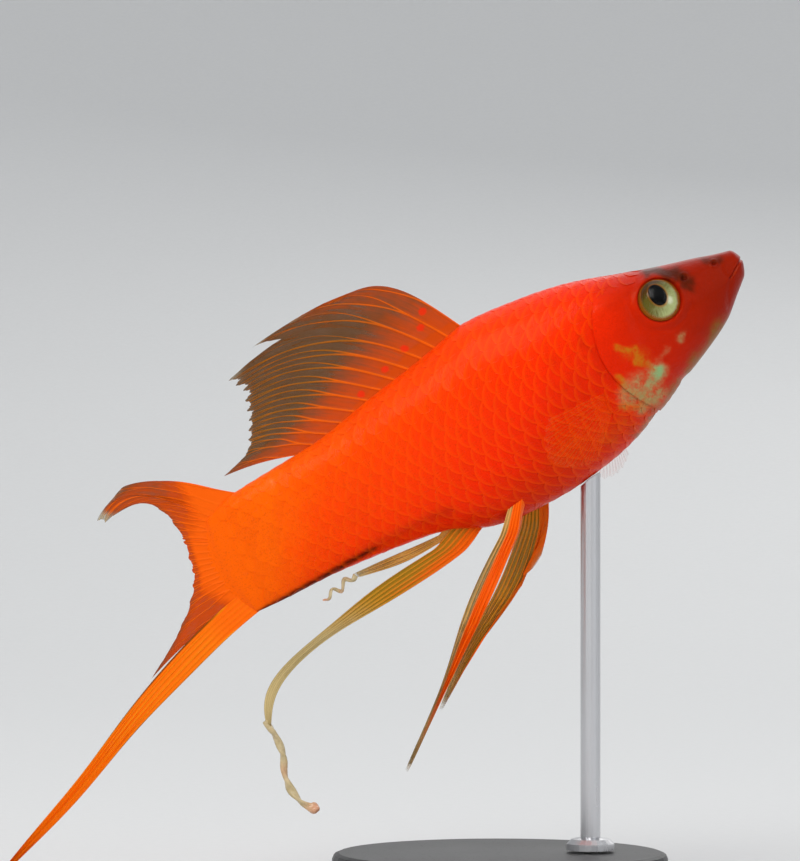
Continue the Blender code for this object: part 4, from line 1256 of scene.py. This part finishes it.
# %% [markdown]
# One function makes every fin. The skin of the body runs a little way up the rays, so a fin is
# thickest at its root, and the relief of the rays comes out of that flesh.

# %% Any fin
RAY_WIDER, RELIEF_RUN, PAD = 1.15, (-0.1, 0.05), 0.06


def add_fin(name, nodes, rays, finish, paint, per_gap=14, notches=None, scallop=0.03, ray=RAY_HALF,
            web=WEB_HALF, flesh=FLESH_HALF, bare=0.0, fray=FRAY, thin_root=0.0):
    """A fin from its rays (rays, steps, 3). paint gives the numbers that its finish reads. The
    relief of the rays starts where the fin is bare of flesh, at a share of its length. A
    thin root reaches its full thickness at a share of it, so it comes out without a step."""
    lines, ray_number = blended(rays, per_gap)
    off = abs(ray_number - np.round(ray_number))
    reach = margin_reach(ray_number, notches or {}, scallop, fray)
    for line, part in zip(lines, reach):
        line[:] = np.array([np.interp(SHARES * part, SHARES, column) for column in line.T]).T
    share = SHARES[None, :] * reach[:, None]
    gap = np.linalg.norm(np.gradient(lines, ray_number, axis=0), axis=2)
    first, second = (width * ease(start, end, share) for start, end, width in (FIRST_FORK, SECOND_FORK))
    near = abs(abs(off[:, None] - first) - second) * gap
    ray_half, web_half = from_to(ray, share), from_to(web, share)
    ridge = np.sqrt(np.clip(1 - (near / (ray_half * RAY_WIDER)) ** 2, 0, 1))
    ridge *= ease(bare + RELIEF_RUN[0], bare + RELIEF_RUN[1], share)
    half = web_half + (ray_half - web_half) * ridge + flesh * np.exp(-SHARES / FLESH_REACH)
    if thin_root:
        half *= 0.05 + 0.95 * ease(0.0, thin_root, share)
    places, faces, flat, inner = closed_sheet(padded(lines, PAD), np.pad(half, 1))
    grids = {"ray": np.broadcast_to(ray_number[:, None], share.shape), "share": share, "gap": gap}
    grids.update({"length": distances(lines), "spot": 0 * share, "faint": 0 * share})
    grids.update(paint(grids["ray"], share, lines[..., 0], lines[..., 1]))
    numbers = {}
    for key, grid in grids.items():
        wide = np.pad(grid, 1, mode="edge")
        numbers[key] = np.concatenate([wide.ravel(), wide[inner]])
    return add_piece(name, places, faces, flat, finish, nodes, numbers)


print("ready for fins of", STEPS, "steps a ray")

# %% [markdown]
# The finish of a fin reads how warm and how pale it is at each point. Warm web is a dense
# orange, cool web is a thin olive brown, and pale web is nearly clear. Rays are denser than
# the web. Only Alpha makes the web see-through, because light in a real fin passes straight
# on and isn't bent.

# %% Fin finish
SPOT_RED = (0.85, 0.02, 0.002)
FIN_TINT = 1.0, 0.5, 0.2, 1.0
BROWN_FIN = {
    # part: cool, warm and pale colour
    "ray": ((0.31, 0.115, 0.008), (0.85, 0.12, 0.001), (0.5, 0.36, 0.17)),
    "web": ((0.115, 0.04, 0.002), (0.6, 0.06, 0.001), (0.36, 0.3, 0.17)),
}
OLIVE_FIN = {
    "ray": ((0.52, 0.28, 0.02), (0.95, 0.13, 0.001), (0.72, 0.55, 0.26)),
    "web": ((0.32, 0.17, 0.01), (0.9, 0.1, 0.001), (0.5, 0.38, 0.14)),
}
WEB_ALPHA = {"warm": 0.9, "cool": 0.79, "pale": 0.4}
SEGMENT, SEGMENT_DEPTH, RAY_RELIEF, WEB_GRAIN = 0.42, 0.012, 0.03, 0.02  # millimetres
FIN_MIRRORS = 0.25


def fin_finish(name, paints, dense=0.0, clear=0.0):
    """dense makes the web let less light through, and clear makes all of the fin let more."""
    material, m = new_finish(name)
    place = vector(m, "place")
    share, gap = number(m, "share"), number(m, "gap")
    ray_number = number(m, "ray")
    off = abs(ray_number - m.math("ROUND", ray_number))
    first, second = (between(m, share, start, end) * width for start, end, width in (FIRST_FORK, SECOND_FORK))
    near = abs(abs(off - first) - second) * gap
    ray = between(m, near / from_to(RAY_HALF, share), 1.45, 0.55)
    segment = m.math("SINE", number(m, "length") * (2 * math.pi / SEGMENT))
    joint = between(m, segment, 0.75, 1.0) * ray
    cloud = noise(m, place, 0.9, 3.0, 0.6) - 0.5
    streak = noise(m, combined(m, ray_number * 6, share * 5, 0.0), 1.0, 2.0) - 0.5
    heat = number(m, "warm")
    warm = between(m, heat + cloud * 0.25 + streak * 0.5 + ray * 0.25, 0.05, 0.95)
    pale = between(m, number(m, "pale") + cloud * 0.3, 0.1, 0.95)
    colours = {}
    for part, (cool_colour, warm_colour, pale_colour) in paints.items():
        colours[part] = tint(m, pale, tint(m, warm, cool_colour, warm_colour), pale_colour)
    colour = tint(m, ray * (0.9 - 0.2 * joint), colours["web"], colours["ray"])
    spot = between(m, number(m, "spot") + cloud * 0.5 + streak * 0.2, 0.4, 0.8)
    colour = tint(m, spot * 0.85, colour, SPOT_RED)
    colour = tint(m, between(m, heat + streak * 0.5 + ray * 0.2, 1.0, 1.6) * 0.85, colour, ORANGE)
    thin = WEB_ALPHA["cool"] + (WEB_ALPHA["warm"] - WEB_ALPHA["cool"]) * warm + dense
    web_alpha = thin + (WEB_ALPHA["pale"] + dense - thin) * pale + streak * 0.25
    fleshy = between(m, share, 0.1, 0.0) + between(m, heat, 1.1, 1.6)
    alpha = m.math("MINIMUM", web_alpha + (0.95 - web_alpha) * (ray + spot) + fleshy, 1.0)
    alpha = m.math("MAXIMUM", alpha, 0.0) * between(m, number(m, "faint"), 1.0, 0.0)
    height = ray * RAY_RELIEF - joint * SEGMENT_DEPTH + noise(m, place, 3.0, 3.0) * WEB_GRAIN
    sockets = {"Base Color": colour, "Alpha": alpha * (1 - clear), "Roughness": 0.42 + 0.2 * cloud}
    sockets.update({"Specular IOR Level": FIN_MIRRORS, "Specular Tint": FIN_TINT})
    relief_surface(m, height, {**sockets, "Coat Weight": 0.02, "Coat Roughness": 0.2})
    return material


def evenly(warm, pale=0.0):
    """A paint that is the same over the whole fin, apart from a paler margin."""
    def paint(ray, share, along, up):
        return {"warm": warm + 0 * share, "pale": pale + 0.35 * ease(0.75, 1.0, share)}

    return paint


brown_web, olive_web = fin_finish("brown_web", BROWN_FIN), fin_finish("olive_web", OLIVE_FIN, dense=0.08)
print("finishes of the fins:", brown_web.name, "and", olive_web.name)

# %% [markdown]
# The dorsal fin is the tall one on the back. Its thirteen rays leave the back steeply and
# bend over to trail behind, each group of tips ending in a point. A band of dense orange
# follows its base, with a few red spots, and the rest is thin and brown.

# %% Dorsal fin
DORSAL_FRONT, DORSAL_REAR, DORSAL_RAYS = 34.4, 58.9, 13
DORSAL_MARGIN = (
    (0, 46.6, 20.6), (1, 52.6, 21.1), (2, 58.8, 20.8), (3, 63.4, 18.6), (5, 62.4, 16.6),
    (8, 63.6, 13.0), (11, 65.4, 9.9), (12, 69.6, 8.4),
)
DORSAL_LEAN, DORSAL_TRAIL, DORSAL_WAVE = (63.0, 20.0), (-12.0, 6.0), 0.9
DORSAL_SPOTS = (38.0, 14.5), (39.2, 12.8), (42.2, 11.5), (45.6, 10.4), (49.7, 9.1)
ORANGE_BAND = (40.0, 62.0), (7.5, 2.4)  # distance behind the snout, and the band's height there


def dorsal_rays():
    """Rays from even steps along the back to the tips on the margin."""
    key, along, up = np.array(DORSAL_MARGIN).T
    rays = []
    for i in range(DORSAL_RAYS):
        share = i / (DORSAL_RAYS - 1)
        root = rooted(DORSAL_FRONT + (DORSAL_REAR - DORSAL_FRONT) * share)[:2]
        tip = (np.interp(i, key, along), np.interp(i, key, up))
        lean, trail = (a + (b - a) * share for a, b in (DORSAL_LEAN, DORSAL_TRAIL))
        side = DORSAL_WAVE * SHARES**2 * math.sin(math.pi * share)
        rays.append(np.column_stack([bent_ray(root, tip, lean, trail), side]))
    return np.array(rays)


def dorsal_paint(ray, share, along, up):
    """An orange band along the base and down the front, red spots and a pale upper tip."""
    band = np.interp(along, *ORANGE_BAND)
    raised = up - body_at(along)[0]
    warm = 1 - ease(-0.1, 1.75, raised / band)
    warm = np.maximum(warm, 0.52 * (1 - ease(0.0, 3.6, ray)))
    spot = np.max([bell(np.hypot(along - a, (up - u) * 1.2), 0.75) for a, u in DORSAL_SPOTS], axis=0)
    pale = 0.3 * ease(0.9, 1.0, share) + 0.7 * ease(0.85, 0.97, share) * bell(ray - 2, 1.0)
    return {"warm": warm, "pale": pale, "spot": spot}


add_fin("dorsal_web", ("dorsal_fin",), dorsal_rays(), brown_web, dorsal_paint, per_gap=16,
        notches={0: 0.06, 2: 0.24})

# %% [markdown]
# The tail fin is a lyre: a long upper lobe and a shallow middle. The lowest rays aren't part
# of it, since they make the sword. Each row below is one ray: where it leaves the flesh (along
# the back, or up the tail's base), where its tip is, and the angles it leaves and ends at.

# %% Tail fin
UPPER_LOBE = (
    (68.6, None, 77.8, 12.1, 34, 24),
    (71.2, None, 81.4, 13.3, 40, 14),
    (73.3, None, 86.3, 11.2, 52, -34),
    (None, 4.95, 85.5, 10.5, 50, -28),
    (None, 4.2, 82.3, 10.9, 50, 10),
    (None, 3.4, 80.2, 10.3, 52, 34),
    (None, 2.6, 78.8, 8.6, 50, 44),
    (None, 1.7, 78.1, 6.2, 42, 40),
    (None, 0.8, 78.0, 4.0, 30, 32),
)
MIDDLE_WEB = (
    (None, 0.45, 78.1, 3.6, 27, 29),
    (None, -0.7, 78.5, 1.5, 14, 18),
    (None, -1.5, 78.9, -0.1, 6, 10),
    (None, -2.3, 79.7, -1.7, 0, 4),
    (None, -3.1, 81.0, -3.3, -8, -8),
    (None, -3.9, 83.4, -5.4, -13, -16),
    (None, -5.3, 89.8, -9.4, -12, -19),
)
TAIL_ROOT_IN = 1.6


def tail_rays(rows):
    """Rays of the tail fin from a table of roots and tips."""
    rays = []
    for root_along, root_up, tip_along, tip_up, lean, trail in rows:
        root = (TAIL_BASE - TAIL_ROOT_IN, root_up) if root_along is None else rooted(root_along)[:2]
        rays.append(np.column_stack([bent_ray(root, (tip_along, tip_up), lean, trail), 0 * SHARES]))
    return np.array(rays)


def tail_paint(ray, share, along, up):
    """Flesh colour at the root, orange in the middle and browner on the long lobe."""
    pale = ease(0.84, 1.0, share) * bell(ray - 2.4, 1.1)
    reach = along - TAIL_BASE - TAIL_FLESH * tail_bow(up)
    middle = bell(ray - 10, 4)
    warm = 1.75 - (1.15 - 0.95 * middle) * ease(-1.0, 3.5, reach)
    return {"warm": warm - (0.3 + 0.5 * middle) * ease(0.8, 1.0, share), "pale": pale}


add_fin("tail_web", ("caudal_fin_upper", "caudal_fin_lower"), tail_rays(UPPER_LOBE + MIDDLE_WEB), brown_web,
        tail_paint, flesh=0.12, bare=0.3)

# %% [markdown]
# The sword is the lower edge of the tail fin grown long, so it is a bundle of close rays with
# hardly any web, in the brightest orange of the fish.

# %% Sword
SWORD_UPPER = (
    (TAIL_BASE - 2.4, -5.0), (TAIL_BASE + 0.3, -5.3), (79.2, -6.1), (83.5, -7.4), (90.2, -9.8),
    (97.7, -12.9), (101.2, -15.0), (107.5, -17.4), (114.0, -19.8), (119.7, -22.2),
)
SWORD_LOWER = (
    (TAIL_BASE - 2.4, -8.1), (TAIL_BASE + 0.3, -8.3), (78.3, -9.1), (83.0, -10.7),
    (89.0, -12.4), (96.4, -14.6), (100.0, -16.3), (106.4, -18.9), (113.2, -20.7),
    (119.5, -22.5),
)
SWORD_PAINT = {
    "ray": ((0.3, 0.07, 0.002), *((1.0, 0.29, 0.003),) * 2),
    "web": ((0.2, 0.04, 0.002), *((1.0, 0.18, 0.002),) * 2),
}


def sword_paint(ray, share, along, up):
    """Flesh colour at the root, then orange rays with brown edge lines, part edge colour and part painted
    shade.
    """
    # brown lines along both edges: partly the sword's own edge colour, partly painted shade
    lines = 1.5 * bell(ray, 0.3) + 0.9 * bell(ray - 5, 0.22)
    lines *= ease(0.08, 0.16, share) * (1 - 0.7 * ease(0.3, 0.7, share))
    return {"warm": 1.8 - 0.7 * ease(0.05, 0.22, share) - lines, "pale": 0 * share}


sword_rays, sword_finish = ribbon_rays(SWORD_UPPER, SWORD_LOWER, 6), fin_finish("sword", SWORD_PAINT, 0.1)
add_fin("sword_web", ("sword",), sword_rays, sword_finish, sword_paint, per_gap=12, scallop=0.002,
        ray=(0.26, 0.12), web=(0.18, 0.07), flesh=0.0, bare=0.18, thin_root=0.2)

# %% [markdown]
# Under the fish are the anal fin, which a male uses in mating and which is very long here,
# and a short lobe behind it. Both end in threads. A thread is a tube: rings across a path,
# turned as little as possible from one to the next so that it doesn't twist by itself.

# %% Anal fin
GONOPODIUM_UPPER = (
    (46.9, -12.0), (49.2, -12.2), (54.7, -12.5), (58.9, -12.7), (62.8, -13.4), (67.0, -14.4),
    (73.2, -15.4), (78.4, -17.1), (80.2, -18.7), (80.6, -20.3), (80.15, -21.9),
)
GONOPODIUM_LOWER = (
    (43.6, -13.2), (46.6, -14.4), (52.6, -14.9), (58.4, -15.3), (62.4, -15.4), (66.6, -15.3),
    (72.8, -16.4), (77.7, -18.0), (79.2, -19.2), (79.6, -20.4), (79.5, -21.7),
)
FILAMENT = (
    (80.0, -20.9), (79.75, -22.4), (79.7, -23.6), (80.0, -25.7), (80.9, -27.6), (81.2, -29.4),
    (81.0, -31.4), (80.2, -33.0), (79.2, -33.8),
)
GONOPODIUM_SWING = 1.6
ANAL_UPPER = ((48.2, -11.1), (51.2, -10.95), (55.0, -10.6), (58.5, -10.3), (61.4, -10.1))
ANAL_LOWER = ((47.3, -11.6), (50.2, -11.9), (54.4, -12.0), (57.8, -11.5), (61.2, -10.75))
CURL_START, CURL_END, CURL_TURNS, CURL_RADIUS = (61.2, -10.4), (66.2, -11.2), 2.5, 0.5
THREAD_AROUND = 18


def gonopodium_side(shares):
    """The long lobe swings a little to the right of the middle plane."""
    return -GONOPODIUM_SWING * shares * (1 - 0.35 * shares)


def gonopodium_paint(ray, share, along, up):
    """A little orange near the root, and paler and paler further out."""
    warm = 0.55 * bell(ray - 4.2, 1.6) * (1 - ease(0.15, 0.5, share)) + 0.25 * (1 - ease(0.05, 0.3, share))
    return {"warm": warm, "pale": ease(0.28, 0.75, share)}


print("the long lobe swings", round(-gonopodium_side(1.0), 2), "mm to the right")

# %% [markdown]
# A thread's section has two or three lobes that turn along it, so it looks like a twisted
# cord of skin. At its ends it is closed by a flat face.

# %% Threads
def tube(path, radii, lobes, turns):
    """Rings across a path of places. lobes gives the section's (count, depth) pairs."""
    tangent = unit(np.gradient(path, axis=0))
    across = np.cross(tangent[0], (0, 0, 1.0))
    angle = np.linspace(0, 2 * math.pi, THREAD_AROUND, endpoint=False)
    rings = []
    for i, (middle, ahead, radius) in enumerate(zip(path, tangent, radii)):
        across = unit(across - ahead * (across @ ahead))
        beside = np.cross(ahead, across)
        turn = angle + turns * 2 * math.pi * i / len(path)
        swell = 1 + sum(depth * np.cos(count * turn) for count, depth in lobes)
        circle = np.cos(angle)[:, None] * across + np.sin(angle)[:, None] * beside
        rings.append(middle + radius * swell[:, None] * circle)
    return np.array(rings)


THREAD_OLIVE, THREAD_CREAM, THREAD_ROSE = (0.42, 0.3, 0.1), (0.75, 0.62, 0.38), (0.72, 0.27, 0.15)


def thread_finish():
    """Skin so thin that it is nearly clear, rosy where blood shows through at the tip."""
    material, m = new_finish("thread")
    place, share = vector(m, "place"), number(m, "share")
    cloud = noise(m, place, 1.1, 3.0)
    colour = tint(m, cloud, THREAD_OLIVE, THREAD_CREAM)
    rosy = between(m, abs(share - 0.5), 0.12, 0.0) * 0.35 + between(m, share, 0.8, 1.0) * 0.75
    colour = tint(m, rosy, colour, THREAD_ROSE)
    sockets = {"Base Color": colour, "Alpha": 0.78 + 0.2 * cloud, "Roughness": 0.35 + 0.1 * cloud}
    sockets.update({"Coat Weight": 0.5, "Coat Roughness": 0.12})
    relief_surface(m, noise(m, place, 4.0, 3.0) * 0.03, sockets)
    return material


def add_thread(name, node, path, radii, finish, lobes, turns):
    """A closed tube along a path, in the place of one node."""
    rings = tube(path, radii, lobes, turns)
    faces, flat = stacked(rings)
    share = np.repeat(np.linspace(0, 1, len(path)), THREAD_AROUND)
    return add_piece(name, rings.reshape(-1, 3), faces, flat, finish, (node,), {"share": share})


print("threads have", THREAD_AROUND, "points round")

# %% [markdown]
# The filament leaves the tip of the long lobe and hangs down, with a swelling near its start
# and another near its end. The curl is a spiral about a straight line, widest half way.

# %% Anal fin and threads in place
organ = belly_roots(ribbon_rays(GONOPODIUM_UPPER, GONOPODIUM_LOWER, 6, gonopodium_side))
add_fin("gonopodium_web", ("gonopodium",), organ, fin_finish("ribbon_web", OLIVE_FIN, dense=0.4),
        gonopodium_paint, per_gap=12, scallop=0.01, ray=(0.2, 0.1), web=(0.1, 0.07), flesh=0.3, fray=0.002)
thread = thread_finish()
shares = np.linspace(0, 1, 110)
side = gonopodium_side(1.0) + 0.5 * np.sin(shares * math.pi * 1.5)
path = np.column_stack([curve_through(FILAMENT, shares), side])
radii = 0.44 * (1 - 0.2 * np.sin(shares * math.pi * 3) ** 2) * ease(-0.12, 0.1, shares)
radii = radii + 0.1 * bell(shares - 0.11, 0.03) + 0.2 * bell(shares - 0.95, 0.035)
radii *= np.sqrt(np.clip((1.004 - shares) / 0.03, 0.02, 1))
add_thread("gonopodium_thread", "gonopodium_filament", path, radii, thread, ((2, 0.3), (3, 0.1)), turns=2.2)

shares = np.linspace(0, 1, 120)
start, end = np.array(CURL_START), np.array(CURL_END)
turn = shares * CURL_TURNS * 2 * math.pi
swell = CURL_RADIUS * np.sin(shares * math.pi) ** 0.5
line = start + (end - start) * shares[:, None]
path = np.column_stack([line[:, 0], line[:, 1] - swell * np.sin(turn), swell * (1 - np.cos(turn)) * 0.7])
add_thread("anal_thread", "anal_fin_curl", path, 0.3 * (1 - 0.5 * shares), thread, ((2, 0.2),), turns=1.0)
anal = belly_roots(ribbon_rays(ANAL_LOWER, ANAL_UPPER, 6))
add_fin("anal_web", ("anal_fin",), anal, olive_web, evenly(0.1, 0.35), per_gap=10, flesh=0.15)

# %% [markdown]
# The pelvic fins hang under the belly as a pair. The leading rays of each run out into a long
# thread. The right one, nearest to us, is orange in front and clear behind. The left one is
# brownish, with a short lobe in front of it.

# %% Pelvic fins
PELVIC = {
    "right": {
        "front": ((37.9, -13.2), (41.0, -15.4), (45.6, -19.2), (49.6, -22.2), (54.6, -25.6), (67.2, -34.8)),
        "rear": ((39.9, -13.0), (43.4, -14.9), (47.6, -17.7), (52.4, -21.4), (56.4, -25.7), (67.4, -34.5)),
        "side": (2.5, 4.3, 5.2, 5.3, 5.0, 4.2),
        "lobe": None,
        "notches": {},
    },
    "left": {
        "front": ((35.9, -13.5), (38.8, -17.2), (42.7, -21.2), (46.8, -23.5), (51.6, -25.4), (60.5, -31.0)),
        "rear": ((38.1, -13.2), (41.6, -16.4), (45.2, -19.6), (49.0, -22.2), (52.9, -24.6), (60.7, -30.7)),
        "side": (2.5, 4.0, 5.0, 5.4, 5.2, 4.6),
        "lobe": (40.0, -19.9),
        "notches": {0: 0.7},
    },
}
PELVIC_RAYS, LOBE_AHEAD, LOBE_BOW = 6, 0.55, 0.5


def pelvic_rays(form, side):
    """A narrow fan whose leading rays run out into a long filament."""

    def off(shares):
        return side * smooth(np.linspace(0, 1, len(form["side"])), form["side"], shares)

    rays = ribbon_rays(form["front"], form["rear"], PELVIC_RAYS, off, spread=0.5 * side)
    if form["lobe"]:
        rays = np.concatenate([[lobe_ray(rays[0], form["lobe"])], rays])
    return belly_roots(rays)


def lobe_ray(leading, tip):
    """A short first ray in front of the leading one."""
    root = leading[0] - (LOBE_AHEAD, 0, 0)
    ray = root + (np.array([*tip, leading[STEPS // 5, 2]]) - root) * SHARES[:, None]
    ray[:, 0] -= LOBE_BOW * np.sin(SHARES * math.pi)
    return ray


def right_pelvic_paint(ray, share, along, up):
    """Orange in front, clear behind, and faint at the end of its thread."""
    behind, end = ease(2.1, 3.8, ray), ease(0.55, 1.0, share)
    pale = 0.45 * behind * (1 - end) + 0.75 * end
    warm = (1.1 - behind) * (1 - 0.5 * end)
    return {"warm": warm, "pale": pale, "faint": ease(0.9, 1.05, share)}


def left_pelvic_paint(ray, share, along, up):
    """Brownish, with a warmer front, and faint at the end of its thread."""
    front = ease(1.4, 0.7, ray)
    pale = 0.2 * ease(2.5, 5.0, ray) + 0.5 * ease(0.6, 1.0, share)
    return {"warm": 0.15 + 0.55 * front, "pale": pale, "faint": ease(0.86, 1.0, share)}


pelvic_paints = {"right": right_pelvic_paint, "left": left_pelvic_paint}
for side_name, side in SIDES.items():
    form = PELVIC[side_name]
    add_fin("pelvic_web_" + side_name, ("pelvic_fin_" + side_name,), pelvic_rays(form, side), olive_web,
            pelvic_paints[side_name], per_gap=12, notches=form["notches"], ray=(0.2, 0.07))

# %% [markdown]
# The pectoral fins beat all the time and are almost clear, so in a picture they hardly show:
# a faint yellow fan against the flank.

# %% Pectoral fins
PECTORAL_ROOT, PECTORAL_ROOT_RISE = (23.0, -6.4), 2.0
PECTORAL_RAYS, PECTORAL_LENGTH, PECTORAL_FAN, PECTORAL_BOW = 11, 11.8, 50.0, 0.9
PECTORAL_ROUND, PECTORAL_LONGEST, PECTORAL_STANDOFF, PECTORAL_DIP = 0.84, 0.42, 0.75, 1.3
PECTORAL = {"right": {"drop": 20.0, "spread": 24.0}, "left": {"drop": 62.0, "spread": 30.0}}


def flank_width(along, up):
    """The body's half width at a height, below its widest line."""
    back, belly, half, middle = body_at(along)
    return half * (1 - ((middle - up) / (middle - belly)) ** BELLY_SQUARE) ** (1 / BELLY_SQUARE)


def pectoral_rays(form, side):
    """A fan of rays from a short slanting root on the flank."""
    spread = math.radians(form["spread"])
    rays = []
    for i in range(PECTORAL_RAYS):
        share = i / (PECTORAL_RAYS - 1)
        along = PECTORAL_ROOT[0] + 0.5 * (share - 0.5)
        up = PECTORAL_ROOT[1] + PECTORAL_ROOT_RISE * (0.5 - share)
        root = np.array([along, up, side * (flank_width(along, up) + PECTORAL_STANDOFF)])
        angle = math.radians(form["drop"] + PECTORAL_FAN * (share - 0.5))
        flat = math.cos(spread)
        heading = np.array([math.cos(angle) * flat, -math.sin(angle) * flat, side * math.sin(spread)])
        length = PECTORAL_LENGTH * (1 - PECTORAL_ROUND * abs(share - PECTORAL_LONGEST) ** 1.5)
        ray = root + heading * length * SHARES[:, None]
        ray[:, 2] += side * PECTORAL_BOW * np.sin(SHARES * math.pi)
        ray[:, 2] -= side * PECTORAL_DIP * ease(0.12, 0.0, SHARES)  # the root dips into the flank
        rays.append(ray)
    return np.array(rays)


clear_web = fin_finish("clear_web", OLIVE_FIN, dense=-0.62, clear=0.88)
for side_name, side in SIDES.items():
    rays = pectoral_rays(PECTORAL[side_name], side)
    add_fin("pectoral_web_" + side_name, ("pectoral_fin_" + side_name,), rays, clear_web,
            evenly(1.0), per_gap=10, ray=(0.12, 0.05), web=(0.045, 0.03), flesh=0.2)

# %% [markdown]
# The stand stays as it was built, with better finishes. The rod is turned steel with fine
# rings round it from the lathe tool. The base is black enamel, a little dusty on top.

# %% Stand
def steel_finish():
    """Rings from the lathe lie across the rod, and finger marks dull it here and there."""
    material, m = new_finish("turned_steel")
    x, y, z = parts_of(m, m.node("TexCoord", output=3))
    lathe = noise(m, combined(m, x * 20, y * 20, z * 2600), 1.0, 2.0)
    smear = noise(m, combined(m, x * 300, y * 300, z * 60), 1.0, 3.0)
    colour = tint(m, smear * 0.6, (0.66, 0.66, 0.68), (0.46, 0.46, 0.48))
    sockets = {"Base Color": colour, "Metallic": 1.0, "Roughness": 0.2 + 0.18 * smear}
    relief_surface(m, lathe * 0.006, sockets)
    return material


def enamel_finish():
    """Sprayed enamel is never quite flat, and some specks of dust lie on it."""
    material, m = new_finish("black_enamel")
    place = m.node("TexCoord", output=3)
    orange_peel = noise(m, place, 900.0, 2.0)
    dust = between(m, noise(m, place, 2600.0, 1.0), 0.68, 0.78)
    cloud = noise(m, place, 60.0, 3.0)
    colour = tint(m, dust * 0.12 + cloud * 0.03, (0.012, 0.012, 0.014), (0.3, 0.29, 0.28))
    sockets = {"Base Color": colour, "Roughness": 0.42 + 0.15 * cloud + 0.3 * dust}
    sockets.update({"Coat Weight": 0.15, "Coat Roughness": 0.3})
    relief_surface(m, orange_peel * 0.02 + dust * 0.01, sockets)
    return material


def paper_finish():
    """Matt paper of one pale grey, with a trace of its fibre."""
    material, m = new_finish("sweep_paper")
    fibre = noise(m, m.node("TexCoord", output=3), 700.0, 3.0)
    colour = tint(m, fibre, (0.74, 0.745, 0.75), (0.78, 0.785, 0.79))
    surface(m, m.node("BsdfPrincipled", {}, {"Base Color": colour, "Roughness": 0.85 + 0.1 * fibre}))
    return material


for node, finish in (("stand_rod", steel_finish()), ("stand_base", enamel_finish())):
    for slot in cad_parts[node].material_slots:
        slot.material = finish
    print(node, "wears", finish.name)
sweep_mesh.materials.append(paper_finish())

# %% [markdown]
# Last, the model's box is set beside the box of the solid model, and the frame is finished.

# %% Finish
DRESSED_BOX = [list(corner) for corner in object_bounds()]
for label, (low, high) in (("solid", SOLID_BOX), ("dressed", DRESSED_BOX)):
    print(label, "size in millimetres:", [round(1000 * (b - a), 1) for a, b in zip(low, high)])
